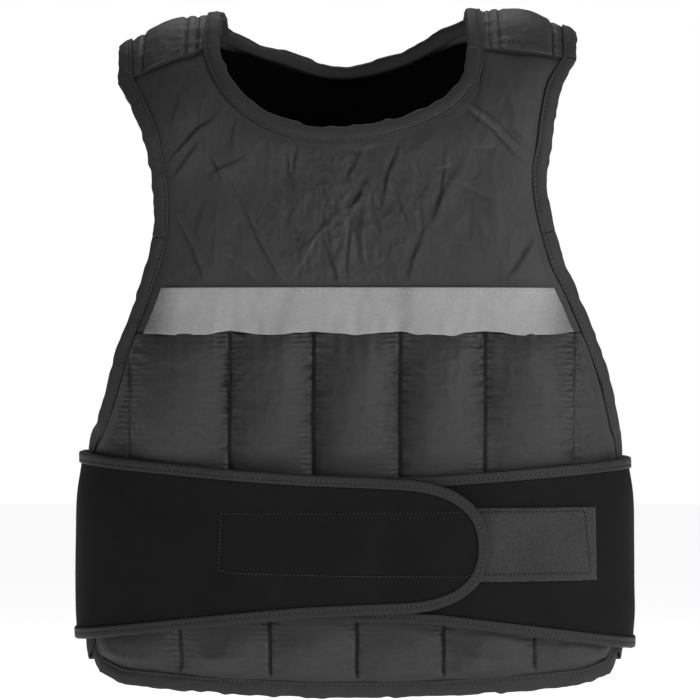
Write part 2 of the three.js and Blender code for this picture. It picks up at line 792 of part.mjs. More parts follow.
// The belt's own surface stands off the form. u runs round from the middle of the back, by the left.
function beltForm(lifted) {
  const at = (u, z) => {
    const turn = Math.PI / 2 + u / beltTurn;
    const side = Math.sin(turn) < 0 ? "front" : "back";
    const power = 2 / formSquareness;
    const across = Math.sign(Math.cos(turn)) * Math.abs(Math.cos(turn)) ** power;
    const depth = Math.sign(Math.sin(turn)) * Math.abs(Math.sin(turn)) ** power;
    const share = side === "front" ? smooth(liftEnds.from, liftEnds.to, across) : 0;
    const stand = beltStand(across) + (lifted ? wingLift * share : 0);
    const width = formWidth(z) + stand;
    return new THREE.Vector3(across * width, depth * (formDepth(side, z) + stand), z);
  };
  return { at, facing: 1 };
}

// The place round the belt of a share of the form's half width, over the front
function beltPlace(across) {
  const turn = Math.acos(Math.sign(across) * Math.abs(across) ** (formSquareness / 2));
  return (1.5 * Math.PI - turn) * beltTurn;
}

// How far round to the side a place of the belt is: 0 at the middle of the front, 1 from the side backwards
function aroundAt(u) {
  const turn = Math.PI / 2 + u / beltTurn;
  return Math.sin(turn) < 0 ? Math.abs(Math.cos(turn)) ** (2 / formSquareness) : 1;
}

function wingPlan(hand) {
  const wing = wings[hand];
  const form = beltForm(hand === "left");
  const lap = 2 * Math.PI * beltTurn;
  const start = hand === "left" ? clearance / 2 : lap - clearance / 2;
  const end = beltPlace(wing.tip);
  const tipStart = beltPlace(wing.tip - Math.sign(end - start) * wingTips[hand] / formHalfWidth);
  // Both halves are divided at the same places, so that they lie flat on each other
  const step = lap / lapSteps;
  const onWay = Math.floor(Math.abs(tipStart - start) / step - tipMargin);
  const places = [start];
  for (let i = 1; i <= onWay; i += 1) {
    places.push(hand === "left" ? i * step : lap - i * step);
  }
  for (let i = 0; i <= tipSteps; i += 1) {
    places.push(mix(tipStart, end, Math.sin(Math.PI / 2 * i / tipSteps)));
  }
  const outline = places.map((u, i) => {
    const { top, bottom } = wingEdges(wing, aroundAt(u));
    const inTip = Math.sin(Math.PI / 2 * Math.max(i - onWay - 1, 0) / tipSteps);
    const squeeze = (1 - inTip ** tipRoundness) ** (1 / tipRoundness);
    const middle = (top + bottom) / 2;
    const half = (top - bottom) / 2 * squeeze;
    return { top: { u, v: middle + half }, bottom: { u, v: middle - half } };
  });
  const last = outline.length - 1;
  const tops = outline.slice(0, last).map(({ top }) => top);
  const bottoms = outline.slice(0, last).map(({ bottom }) => bottom);
  const tip = outline[last].top;
  const edges = hand === "left"
    ? [...tops, tip, ...bottoms.reverse()]
    : [...bottoms, tip, ...tops.reverse()];
  const run = edges.map((edge, i) => {
    if (i === 0 || i === edges.length - 1) {
      return stationTowards(form, edge, i ? edges[0] : edges[edges.length - 1], beltTapeWidth);
    }
    const [before, after] = [edges[i - 1], edges[i + 1]];
    return station(form, edge, after.u - before.u, after.v - before.v, beltTapeWidth);
  });
  return { form, run, last, places, hand };
}

function wingPiece({ form, run, last }) {
  const quilt = new Quilt(form);
  const spot = (place) => quilt.spot(place, beltLow, beltHigh);
  const edges = run.map(({ edge }) => spot(edge));
  const seams = run.map(({ seam }) => spot(seam));
  const opposite = (i) => run.length - 1 - i;
  const middles = [];
  for (let i = 0; i < last; i += 1) {
    middles.push(spot(between(run[i].seam, run[opposite(i)].seam, 0.5)));
  }
  middles.push(seams[last]);
  quilt.band(edges, seams);
  for (let i = 0; i < last; i += 1) {
    quilt.face([seams[i], middles[i], middles[i + 1], seams[i + 1]]);
    quilt.face([middles[i], seams[opposite(i)], seams[opposite(i + 1)], middles[i + 1]]);
  }
  return quilt.geometry();
}

// Hook or loop tape: a level band on the belt, from one share of the half width to another. Where the
// wing narrows to its end, the band is cut to lie inside the tape that binds it.
function patchPiece({ form, places, run, hand }, from, to, low) {
  const quilt = new Quilt(form);
  const ends = [beltPlace(from), beltPlace(to)];
  const middle = -patchLevel * bodyDrop;
  const within = places.map((u, i) => {
    const [first, second] = [run[i].seam, run[run.length - 1 - i].seam];
    const [top, bottom] = hand === "left" ? [first, second] : [second, first];
    return { u, top, bottom };
  }).filter(({ u }) => u > ends[0] && u < ends[1]).sort((a, b) => a.u - b.u);
  const cut = (u, seam, step) => {
    const level = middle + step * patchHeight / 2;
    const limit = seam.v - step * patchClearance;
    return (level - limit) * step < 0 ? { u, v: level } : { u: seam.u, v: limit };
  };
  const rows = [
    within.map(({ u, bottom }) => cut(u, bottom, -1)),
    within.map(({ u }) => ({ u, v: middle })),
    within.map(({ u, top }) => cut(u, top, 1)),
  ].map((row) => row.map((place) => quilt.spot(place, low, low + patchThickness)));
  quilt.grid(rows);
  return quilt.geometry();
}

const vest = new THREE.Group();

function add(name, geometry, look) {
  const mesh = new THREE.Mesh(geometry, new THREE.MeshStandardMaterial(look));
  mesh.name = name;
  vest.add(mesh);
}

const panelTape = tapeProfile(rimLow, rimHigh, tapeThickness);
const beltTape = tapeProfile(beltLow, beltHigh, beltTapeThickness);

for (const side of ["front", "back"]) {
  const chest = chestPlan(side);
  const pockets = pocketPlan(side);
  add(`${side}_chest`, chestPiece(chest), colours.nylon);
  add(`${side}_pockets`, pocketPiece(pockets), colours.nylon);
  add(`neck_binding_${side}`, tape(chest.form, chest.neckRun, panelTape, tapeWidth), colours.tape);
  for (const hand of ["left", "right"]) {
    const upwards = chest.sides[hand].slice(armTapeRow);
    const run = hand === "left" ? upwards : upwards.reverse();
    add(`armhole_binding_${side}_${hand}`, tape(chest.form, run, panelTape, tapeWidth), colours.tape);
  }
  const above = (hand) => chest.sides[hand].slice(1, armTapeRow + 1);
  const hemRun = [
    ...above("right").reverse(),
    ...pockets.sides.right,
    ...[...pockets.hem].reverse(),
    ...[...pockets.sides.left].reverse(),
    ...above("left"),
  ];
  add(`hem_binding_${side}`, tape(chest.form, hemRun, panelTape, tapeWidth), colours.tape);
  if (side === "front") {
    add("reflective_strip", stripPiece(chest), colours.reflective);
  } else {
    add("back_lining", liningPiece(chest), colours.lining);
  }
}

for (const hand of ["left", "right"]) {
  const pad = padPlan(hand);
  add(`shoulder_pad_${hand}`, padPiece(pad), colours.nylon);
  add(`pad_binding_neck_${hand}`, tape(capForm, pad.neck, panelTape, tapeWidth), colours.tape);
  add(`pad_binding_arm_${hand}`, tape(capForm, pad.arm, panelTape, tapeWidth), colours.tape);

  const wing = wingPlan(hand);
  add(`belt_${hand}`, wingPiece(wing), colours.neoprene);
  add(`belt_binding_${hand}`, tape(wing.form, wing.run, beltTape, beltTapeWidth), colours.tape);
  if (hand === "left") {
    const low = beltLow - patchClearance - patchThickness;
    add("hook_patch", patchPiece(wing, patchEnds.hookFrom, patchEnds.hookTo, low), colours.hook);
  } else {
    const low = beltHigh + patchClearance;
    add("loop_patch", patchPiece(wing, patchEnds.loopFrom, patchEnds.loopTo, low), colours.loop);
  }
}

export default vest;
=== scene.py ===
import math
from collections import namedtuple

import bmesh
import bpy
import numpy as np
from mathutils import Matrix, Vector
from mathutils.bvhtree import BVHTree


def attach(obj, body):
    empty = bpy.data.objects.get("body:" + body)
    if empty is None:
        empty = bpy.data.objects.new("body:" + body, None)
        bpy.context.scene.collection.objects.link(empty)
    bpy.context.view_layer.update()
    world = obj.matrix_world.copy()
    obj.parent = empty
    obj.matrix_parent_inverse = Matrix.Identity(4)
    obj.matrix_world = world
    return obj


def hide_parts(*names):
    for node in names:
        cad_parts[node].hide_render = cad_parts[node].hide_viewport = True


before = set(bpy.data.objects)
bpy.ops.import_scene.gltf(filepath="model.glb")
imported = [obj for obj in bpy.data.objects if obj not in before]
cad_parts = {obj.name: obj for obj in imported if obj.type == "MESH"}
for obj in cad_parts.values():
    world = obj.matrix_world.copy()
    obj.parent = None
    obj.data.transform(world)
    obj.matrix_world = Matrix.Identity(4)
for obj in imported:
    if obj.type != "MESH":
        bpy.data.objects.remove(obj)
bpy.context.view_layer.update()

scene = bpy.context.scene

# Camera, light and floor
# The photograph is a level view from far off, so that the sides hardly close in. Its middle column lies a
# little to the left of the vest's middle. Floor and air are white, and the strongest light is on the right.
MM = 0.001
PIXEL = 0.74 * MM                # what a pixel of the 700-pixel photograph measures at the front of the vest
PHOTO_SIZE = 700
PHOTO_MIDDLE_X = 355             # the pixel column of the vest's middle
FRONT_PLANE = -95 * MM
VIEW_DISTANCE = 4.0
VIEW_HEIGHT = -246.7 * MM
SENSOR = 36.0

camera_data = bpy.data.cameras.new("camera")
camera_data.type = "PERSP"
camera_data.sensor_width = SENSOR
camera_data.lens = SENSOR * VIEW_DISTANCE / (PHOTO_SIZE * PIXEL)
camera_data.clip_end = 100.0
camera = bpy.data.objects.new("camera", camera_data)
middle_x = (PHOTO_SIZE / 2 - PHOTO_MIDDLE_X) * PIXEL
camera.location = (middle_x, FRONT_PLANE - VIEW_DISTANCE, VIEW_HEIGHT)
camera.rotation_euler = (math.radians(90), 0, 0)
scene.collection.objects.link(camera)
scene.camera = camera
scene.view_settings.view_transform = "Standard"

FLOOR_Z = -0.62
FLOOR_REACH = 9.0
floor_edge = bmesh.new()
bmesh.ops.create_grid(floor_edge, x_segments=1, y_segments=1, size=FLOOR_REACH)
bmesh.ops.translate(floor_edge, verts=floor_edge.verts, vec=(0, 0, FLOOR_Z))
floor_mesh = bpy.data.meshes.new("floor")
floor_edge.to_mesh(floor_mesh)
floor_edge.free()
floor = bpy.data.objects.new("floor", floor_mesh)
scene.collection.objects.link(floor)


def feed(tree, node, values):
    """Gives a node's inputs, by name or number, a value or another node's output socket."""
    for name, value in values.items():
        if isinstance(value, bpy.types.NodeSocket):
            tree.links.new(value, node.inputs[name])
        else:
            node.inputs[name].default_value = value


def add_node(tree, kind, values=None, **settings):
    """A new node with its own settings, fed as above."""
    node = tree.nodes.new(kind)
    for name, setting in settings.items():
        setattr(node, name, setting)
    feed(tree, node, values or {})
    return node


def new_material(name):
    material = bpy.data.materials.new(name)
    material.use_nodes = True
    return material, material.node_tree, material.node_tree.nodes["Principled BSDF"]


FLOOR_GLOW = 0.8
SKY_STRENGTH = 0.15
WHITE = (1, 1, 1, 1)
floor_paint, floor_tree, floor_shader = new_material("floor_paper")
feed(floor_tree, floor_shader, {
    "Base Color": (0.93, 0.93, 0.93, 1), "Roughness": 0.95, "Specular IOR Level": 0.1,
    "Emission Color": WHITE, "Emission Strength": FLOOR_GLOW,
})
floor_mesh.materials.append(floor_paint)

world = bpy.data.worlds.new("studio")
scene.world = world
world.use_nodes = True
world_tree = world.node_tree
sky = world_tree.nodes["Background"]
feed(world_tree, sky, {"Color": WHITE, "Strength": SKY_STRENGTH})
paper = add_node(world_tree, "ShaderNodeBackground", {"Color": WHITE})
path = add_node(world_tree, "ShaderNodeLightPath")
choose = {0: path.outputs["Is Camera Ray"], 1: sky.outputs[0], 2: paper.outputs[0]}
choose = add_node(world_tree, "ShaderNodeMixShader", choose)
feed(world_tree, world_tree.nodes["World Output"], {0: choose.outputs[0]})


def softbox(name, place, target, size, power):
    light = bpy.data.lights.new(name, "AREA")
    light.shape = "RECTANGLE"
    light.size, light.size_y = size
    light.energy = power
    lamp = bpy.data.objects.new(name, light)
    lamp.location = place
    lamp.rotation_euler = (Vector(target) - Vector(place)).to_track_quat("-Z", "Y").to_euler()
    scene.collection.objects.link(lamp)


VEST_MIDDLE = (0, 0, VIEW_HEIGHT)
softbox("key", (2.2, -1.7, 0.7), VEST_MIDDLE, (0.7, 0.9), 38)
softbox("fill", (-0.4, -3.0, 0.2), VEST_MIDDLE, (1.2, 1.6), 9)
softbox("back", (-0.2, 1.2, 1.7), VEST_MIDDLE, (1.2, 1.2), 14)

# Front chest
# A thinly padded panel of woven nylon, from the shoulder seams down to the weight channels. The cloth is
# sewn over the wadding only at its edges, so it creases where it hangs from the shoulders.
SEED = 7649
MERGE = 0.02 * MM
SHARP_ANGLE = math.radians(50)
JOIN_SHAPE = math.radians(75)     # how far two joined triangles may be from a rectangle
PLAN_HALF_WIDTH = 0.205          # the vest's plan is nearly a rounded rectangle
PLAN_FRONT_DEPTH = 0.112
PLAN_BACK_DEPTH = 0.094
PLAN_SQUARENESS = 2.7
SHOULDER_START = -0.110          # above this the vest turns in over the shoulders
SHOULDER_RISE = 0.118


def signed_power(value, power):
    return np.sign(value) * np.abs(value) ** power


def plan_depth(y):
    """The depth of the half of the plan in which y lies: the front is at -Y."""
    return np.where(y < 0, PLAN_FRONT_DEPTH, PLAN_BACK_DEPTH)


def outward(points):
    """The direction that faces away from the wearer at each point."""
    depth = plan_depth(points[:, 1])
    facing = np.zeros_like(points)
    facing[:, 0] = signed_power(points[:, 0] / PLAN_HALF_WIDTH, PLAN_SQUARENESS - 1) / PLAN_HALF_WIDTH
    facing[:, 1] = signed_power(points[:, 1] / depth, PLAN_SQUARENESS - 1) / depth
    facing /= np.linalg.norm(facing, axis=1, keepdims=True) + 1e-9
    up = np.clip((points[:, 2] - SHOULDER_START) / SHOULDER_RISE, 0, 0.999)
    facing *= np.sqrt(1 - up * up)[:, None]
    facing[:, 2] = up
    return facing


HASH = (73856093, 19349663, 83492791)   # large primes that mix a cell's place into a random number


def lattice_noise(points, size, seed):
    """Smooth noise from -1 to 1 at each point, with lumps of that size."""
    place = points / size
    low = np.floor(place).astype(np.int64)
    part = place - low
    part = part * part * (3 - 2 * part)
    total = np.zeros(len(points))
    for corner in range(8):
        step = np.array([corner & 1, corner >> 1 & 1, corner >> 2 & 1])
        cell = (low + step) * HASH
        mixed = cell[:, 0] ^ cell[:, 1] ^ cell[:, 2] ^ (seed + SEED) * 2654435
        mixed = (mixed ^ mixed >> 13) * 1274126177 & 0xFFFFFFFF
        value = (mixed >> 8 & 0xFFFF) / 32767.5 - 1
        total += value * np.where(step, part, 1 - part).prod(1)
    return total


def crumple(points, size, seed):
    """Sharp little folds, as in thin cloth that was packed: crests along the noise's zero lines."""
    bent = points.copy()
    for axis in range(3):
        bent[:, axis] += 0.45 * size * lattice_noise(points, size * 0.9, seed + 11 + axis)
    folds = 1 - 2.2 * np.abs(lattice_noise(bent, size, seed))
    finer = 1 - 2.2 * np.abs(lattice_noise(bent, size * 0.47, seed + 5))
    return 0.7 * folds + 0.3 * finer


def smooth_step(low, high, value):
    part = np.clip((value - low) / (high - low), 0, 1)
    return part * part * (3 - 2 * part)


def photo_place(column, row, pixel=PIXEL):
    """Where a pixel of the photograph falls on the front of the vest: x and z in metres."""
    return (column - PHOTO_MIDDLE_X) * pixel, VIEW_HEIGHT - (row - PHOTO_SIZE / 2) * pixel


def applied(piece):
    """A plain mesh of what a piece's modifiers make of it."""
    return bpy.data.meshes.new_from_object(piece.evaluated_get(bpy.context.evaluated_depsgraph_get()))


def shade_smooth(mesh):
    for polygon in mesh.polygons:
        polygon.use_smooth = True


def fine_copy(node, levels, crisp=0.9, finer=None, soft_face=False):
    """A smooth copy of a CAD node, divided again where finer holds. A soft face keeps no sharp lines."""
    cage = bmesh.new()
    cage.from_mesh(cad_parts[node].data)
    bmesh.ops.remove_doubles(cage, verts=cage.verts, dist=MERGE)
    bmesh.ops.join_triangles(
        cage, faces=cage.faces, angle_face_threshold=SHARP_ANGLE, angle_shape_threshold=JOIN_SHAPE
    )
    crease = cage.edges.layers.float.new("crease_edge")
    for edge in cage.edges:
        middle = (edge.verts[0].co + edge.verts[1].co) / 2
        away = Vector(outward(np.array([middle]))[0])
        faces_out = soft_face and all(face.normal.dot(away) > 0.1 for face in edge.link_faces)
        if edge.is_manifold and not faces_out and edge.calc_face_angle(0) > SHARP_ANGLE:
            edge[crease] = crisp
    mesh = bpy.data.meshes.new(node + "_cage")
    cage.to_mesh(mesh)
    cage.free()
    piece = bpy.data.objects.new(node + "_cloth", mesh)
    scene.collection.objects.link(piece)
    smoothing = piece.modifiers.new("smoothing", "SUBSURF")
    smoothing.levels = levels
    smoothing.render_levels = levels
    smooth_mesh = applied(piece)
    piece.modifiers.clear()
    piece.data = smooth_mesh
    bpy.data.meshes.remove(mesh)
    if finer:
        points, normals = read_points(piece)
        keep = finer(points, normals)
        fine = bmesh.new()
        fine.from_mesh(smooth_mesh)
        chosen = [edge for edge in fine.edges if keep[edge.verts[0].index] and keep[edge.verts[1].index]]
        bmesh.ops.subdivide_edges(fine, edges=chosen, cuts=1, use_grid_fill=True, smooth=0.6)
        fine.to_mesh(smooth_mesh)
        fine.free()
    shade_smooth(smooth_mesh)
    return piece


def read_points(piece):
    count = len(piece.data.vertices)
    points = np.empty(count * 3)
    normals = np.empty(count * 3)
    piece.data.vertices.foreach_get("co", points)
    piece.data.vertex_normals.foreach_get("vector", normals)
    return points.reshape(-1, 3), normals.reshape(-1, 3)


def write_points(piece, points):
    piece.data.vertices.foreach_set("co", points.ravel())
    piece.data.update()


def surface_tree(pieces):
    """One search tree of the faces of all these objects."""
    corners = []
    faces = []
    for piece in pieces:
        start = len(corners)
        corners.extend(vertex.co.copy() for vertex in piece.data.vertices)
        faces.extend([start + i for i in polygon.vertices] for polygon in piece.data.polygons)
    return BVHTree.FromPolygons(corners, faces)


def distance_to(nodes, points, reach=0.05):
    """How far each point is from the nearest of some CAD nodes, up to a reach."""
    tree = surface_tree([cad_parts[node] for node in nodes])
    found = [tree.find_nearest(Vector(point), reach)[3] for point in points]
    return np.array([reach if distance is None else distance for distance in found])


def fold_relief(points, folds):
    """The height that the listed folds give the cloth."""
    height = np.zeros(len(points))
    flat = points[:, [0, 2]]
    wander = 1.6 * MM * lattice_noise(points, 0.017, 6) + 0.6 * MM * lattice_noise(points, 0.006, 7)
    for fold in folds:
        start = np.array(photo_place(*fold.start))
        along = np.array(photo_place(*fold.end)) - start
        length = np.linalg.norm(along)
        along /= length
        across = np.array([along[1], -along[0]])
        offset = flat - start
        run = offset @ along / length
        bow = fold.bow * MM * 4 * run * (1 - run)
        side = (offset @ across - bow + wander) / (0.42 * fold.width * MM)
        fade = smooth_step(-0.08, 0.4, run) * smooth_step(1.08, 0.6, run)
        height -= 0.8 * fold.depth * MM * fade * np.tanh(side) * np.exp(-np.abs(side) / 5)
    return height


def run_along(line):
    """How far along a line each of its points lies."""
    return np.concatenate([[0], np.cumsum(np.linalg.norm(np.diff(line, axis=0), axis=1))])


def write_map(mesh, flat):
    """Gives the mesh its cloth map, in metres, from a place for each point."""
    layer = mesh.uv_layers.get("cloth") or mesh.uv_layers.new(name="cloth")
    corner = np.empty(len(mesh.loops), np.int64)
    mesh.loops.foreach_get("vertex_index", corner)
    layer.data.foreach_set("uv", flat[corner].ravel())


def give_cloth_map(piece, over_shoulder=False):
    """A UV map in metres: round the body and up it, or along and across a shoulder."""
    points, normals = read_points(piece)
    if over_shoulder:
        turn = np.arctan2(points[:, 1], points[:, 2] - SHOULDER_START)
        flat = np.stack([points[:, 0], turn * SHOULDER_RISE], 1)
    else:
        turn = np.arctan2(points[:, 0] / PLAN_HALF_WIDTH, -points[:, 1] / plan_depth(points[:, 1]))
        table = np.linspace(-math.pi, math.pi, 721)
        across = signed_power(np.sin(table), 2 / PLAN_SQUARENESS)
        along = signed_power(np.cos(table), 2 / PLAN_SQUARENESS)
        run = run_along(np.stack([across * PLAN_HALF_WIDTH, along * plan_depth(-along)], 1))
        angles = np.arctan2(across, along)
        flat = np.stack([np.interp(turn, angles, run), points[:, 2]], 1)
    write_map(piece.data, flat)


def evened(piece, values, keep, rounds):
    """Values at the points, each brought towards its neighbours' mean, where keep is 0, so many times."""
    ends = np.empty(len(piece.data.edges) * 2, np.int64)
    piece.data.edges.foreach_get("vertices", ends)
    first, second = ends[0::2], ends[1::2]
    count = np.maximum(np.bincount(ends, minlength=len(values)), 1)
    for spread in range(rounds):
        total = np.bincount(first, values[second], len(values))
        total += np.bincount(second, values[first], len(values))
        values = values * keep + total / count * (1 - keep)
    return values


def store(piece, name, values):
    layer = piece.data.attributes.new(name, "FLOAT", "POINT")
    layer.data.foreach_set("value", values.astype(np.float32))


def mark_painted_shade_and_highlight(piece, height, reach):
    """Stores a painted highlight on the cloth's crests, above 0, and painted shade in its creases, below 0.
    """
    store(piece, "painted_shade_and_highlight", np.clip((height - evened(piece, height, 0, 2)) / reach, -1, 1))


def peak(value, middle, reach):
    """1 at the middle, fading to 0 over the reach at both sides."""
    return np.exp(-((value - middle) / reach) ** 2)


BELT_PULLS = [{"z": -0.328, "pull": 4.2 * MM}, {"z": -0.470, "pull": 2.2 * MM}]   # at its two rims
BELT_PULL_REACH = 0.020
SIDE_FROM, SIDE_FULL = 0.15, 0.20


def hang_sway(points, belted=False):
    """A slow unevenness that the vest's layers share. The belt's rims are drawn in at the sides as well."""
    sway = 1.6 * MM * lattice_noise(points, 0.085, 1) + 0.8 * MM * lattice_noise(points, 0.034, 2)
    if belted:
        pulls = sum(row["pull"] * peak(points[:, 2], row["z"], BELT_PULL_REACH) for row in BELT_PULLS)
        sway -= pulls * smooth_step(SIDE_FROM, SIDE_FULL, np.abs(points[:, 0]))
    return sway


def hang(piece, points, height=0.0, belted=False, over_shoulder=False):
    """Moves a piece's points outwards by a height and by the sway, and gives the piece its map."""
    points += outward(points) * (hang_sway(points, belted) + height)[:, None]
    write_points(piece, points)
    give_cloth_map(piece, over_shoulder)


def free_cloth(points, normals, edges, faces_out=0.2, clear=(0.4 * MM, 8 * MM)):
    """1 on the open outer face, fading to 0 on the inner face and where other pieces hold the cloth."""
    free = smooth_step(faces_out, 0.6, (normals * outward(points)).sum(1))
    return free * smooth_step(*clear, distance_to(edges, points))


def front_faces(points, normals):
    return (normals * outward(points)).sum(1) > 0.2


# Folds that the photograph shows, from one pixel to another, with width, depth and bow in mm
Fold = namedtuple("Fold", "start end width depth bow", defaults=(0,))
CHEST_FOLDS = [
    Fold((453, 94), (531, 166), 2.6, 1.9),
    Fold((464, 96), (538, 158), 3.0, -1.1),
    Fold((217, 113), (168, 163), 2.6, 1.8),
    Fold((202, 142), (170, 182), 2.8, 1.3),
    Fold((404, 133), (383, 216), 2.4, 1.8, bow=3),
    Fold((300, 140), (293, 186), 2.6, 1.3),
    Fold((241, 194), (289, 288), 3.0, 1.8, bow=3),
    Fold((171, 208), (207, 290), 3.4, 1.9, bow=-3),
    Fold((211, 152), (224, 184), 2.4, 1.3),
    Fold((219, 248), (263, 288), 4.4, 1.6),
    Fold((251, 152), (205, 178), 3.4, 1.1),
    Fold((262, 192), (312, 246), 4.4, 1.2),
    Fold((446, 150), (430, 224), 2.6, 1.6, bow=-4),
    Fold((427, 222), (409, 290), 3.0, 2.0, bow=3),
    Fold((432, 170), (451, 165), 2.6, 1.1),
    Fold((353, 214), (347, 288), 2.6, 1.7),
    Fold((330, 228), (338, 288), 3.4, 1.3),
    Fold((366, 146), (344, 186), 2.8, 1.5),
    Fold((372, 176), (346, 214), 2.6, 1.4),
    Fold((352, 150), (384, 144), 3.4, 1.2),
    Fold((289, 150), (291, 182), 2.4, 1.3),
    Fold((345, 206), (304, 248), 3.4, 1.1),
    Fold((396, 184), (409, 228), 2.8, 1.2),
    Fold((440, 178), (500, 200), 3.4, 1.0),
    Fold((466, 150), (497, 148), 3.4, 1.1),
    Fold((472, 216), (486, 240), 4.0, 0.8),
    Fold((538, 232), (503, 288), 4.4, 1.4),
    Fold((206, 196), (196, 240), 5.0, 0.9),
    Fold((505, 118), (528, 140), 3.8, 1.1),
    Fold((182, 92), (170, 128), 3.8, 1.1),
    Fold((237, 117), (230, 152), 3.2, 0.9),
    Fold((463, 158), (426, 226), 3.6, 1.3),
    Fold((324, 233), (340, 288), 2.8, 1.3),
    Fold((322, 231), (296, 274), 2.8, -1.2),
    Fold((206, 148), (244, 200), 2.8, 1.4),
]

BUSY_X, BUSY_Z, BUSY_REACH = -0.008, -0.15, 0.05   # the middle of the chest is the most crumpled
CHEST_EDGES = [
    "neck_binding_front", "armhole_binding_front_left", "armhole_binding_front_right", "hem_binding_front",
]
front_chest = fine_copy("front_chest", 3, finer=front_faces, soft_face=True)
points, normals = read_points(front_chest)
facing = outward(points)
open_cloth = smooth_step(0.2, 0.6, (normals * facing).sum(1))
gap = distance_to(CHEST_EDGES + ["reflective_strip"], points)
held = 1 - open_cloth * smooth_step(0.0002, 0.002, gap)
points = np.stack([evened(front_chest, points[:, axis], held, 30) for axis in range(3)], 1)
open_cloth *= smooth_step(0.0004, 0.008, gap)
busy = peak(points[:, 0], BUSY_X, BUSY_REACH) * peak(points[:, 2], BUSY_Z, BUSY_REACH)
height = fold_relief(points, CHEST_FOLDS)
drawn_out = points * np.array([1, 1, 0.55])
height += 0.9 * MM * lattice_noise(drawn_out, 0.017, 3)
height += (0.35 + 1.15 * busy) * MM * crumple(drawn_out, 0.012, 4)
height += (0.12 + 0.5 * busy) * MM * crumple(drawn_out, 0.006, 5)
# Painted shade in the chest's creases and a painted highlight on its crests.
mark_painted_shade_and_highlight(front_chest, open_cloth * height, 0.5 * MM)
points += facing * (hang_sway(points) + open_cloth * height)[:, None]
write_points(front_chest, points)
give_cloth_map(front_chest)


def add_math(tree, operation, *values):
    """The output of a new math node."""
    return add_node(tree, "ShaderNodeMath", dict(enumerate(values)), operation=operation).outputs[0]


def new_group(name, inputs, output):
    """A shader node group of plain values, with its input sockets and its output socket."""
    group = bpy.data.node_groups.new(name, "ShaderNodeTree")
    for socket in inputs:
        group.interface.new_socket(socket, in_out="INPUT", socket_type="NodeSocketFloat")
    group.interface.new_socket(output, in_out="OUTPUT", socket_type="NodeSocketFloat")
    return group, group.nodes.new("NodeGroupInput").outputs, group.nodes.new("NodeGroupOutput")


def thread_group():
    """Two sets of threads that cross, from a UV map in metres. Puts out a mask of the raised threads."""
    group, inputs, output = new_group("crossed_threads", ("Pitch", "Unevenness"), "Threads")
    cloth_map = add_node(group, "ShaderNodeUVMap", uv_map="cloth").outputs[0]
    wander = add_node(group, "ShaderNodeTexNoise", {"Vector": cloth_map, "Scale": 160, "Detail": 1})
    split = add_node(group, "ShaderNodeSeparateXYZ", {0: cloth_map})
    turn = add_math(group, "DIVIDE", 2 * math.pi, inputs["Pitch"])
    bend = add_math(group, "MULTIPLY", wander.outputs[0], inputs["Unevenness"])
    waves = []
    for axis in (0, 1):
        phase = add_math(group, "MULTIPLY_ADD", split.outputs[axis], turn, bend)
        waves.append(add_math(group, "SINE", phase))
    crossed = add_math(group, "MULTIPLY", *waves)
    feed(group, output, {"Threads": add_math(group, "MULTIPLY_ADD", crossed, 0.5, 0.5)})
    return group


BLOTCH_SHARE = 0.45              # of blotches in the wear, against specks


def wear_group():
    """Slow blotches and fine specks of rubbed and dusty cloth, from object coordinates."""
    group, inputs, output = new_group("rubbed_cloth", ("Blotch Size", "Speck Size"), "Wear")
    place = add_node(group, "ShaderNodeTexCoord").outputs["Object"]
    noises = []
    for socket, detail in (("Blotch Size", 3), ("Speck Size", 2)):
        scale = add_math(group, "DIVIDE", 1, inputs[socket])
        noise = {"Vector": place, "Scale": scale, "Detail": detail, "Roughness": 0.6}
        noises.append(add_node(group, "ShaderNodeTexNoise", noise).outputs[0])
    specks = add_math(group, "MULTIPLY", noises[1], 1 - BLOTCH_SHARE)
    feed(group, output, {"Wear": add_math(group, "MULTIPLY_ADD", noises[0], BLOTCH_SHARE, specks)})
    return group


PAINTED_SHADE_SHARE = 0.42                 # how strongly the painted shade darkens creases and the painted highlight lightens crests
ROUGH_SPREAD = 0.08
RIB_PITCH = 4.0 * MM             # of the little ribs where cloth is gathered beside a seam
RIB_HEIGHT = 0.9 * MM
RIB_SCALE = 2 * math.pi / (20 * RIB_PITCH)   # Blender's wave texture turns 20 radians a unit at scale 1
CROSSED_THREADS = thread_group()
RUBBED_CLOTH = wear_group()


def add_group(tree, group, values):
    node = tree.nodes.new("ShaderNodeGroup")
    node.node_tree = group
    feed(tree, node, values)
    return node.outputs[0]


def shade(color, strength):
    return tuple(strength * part for part in color) + (1,)


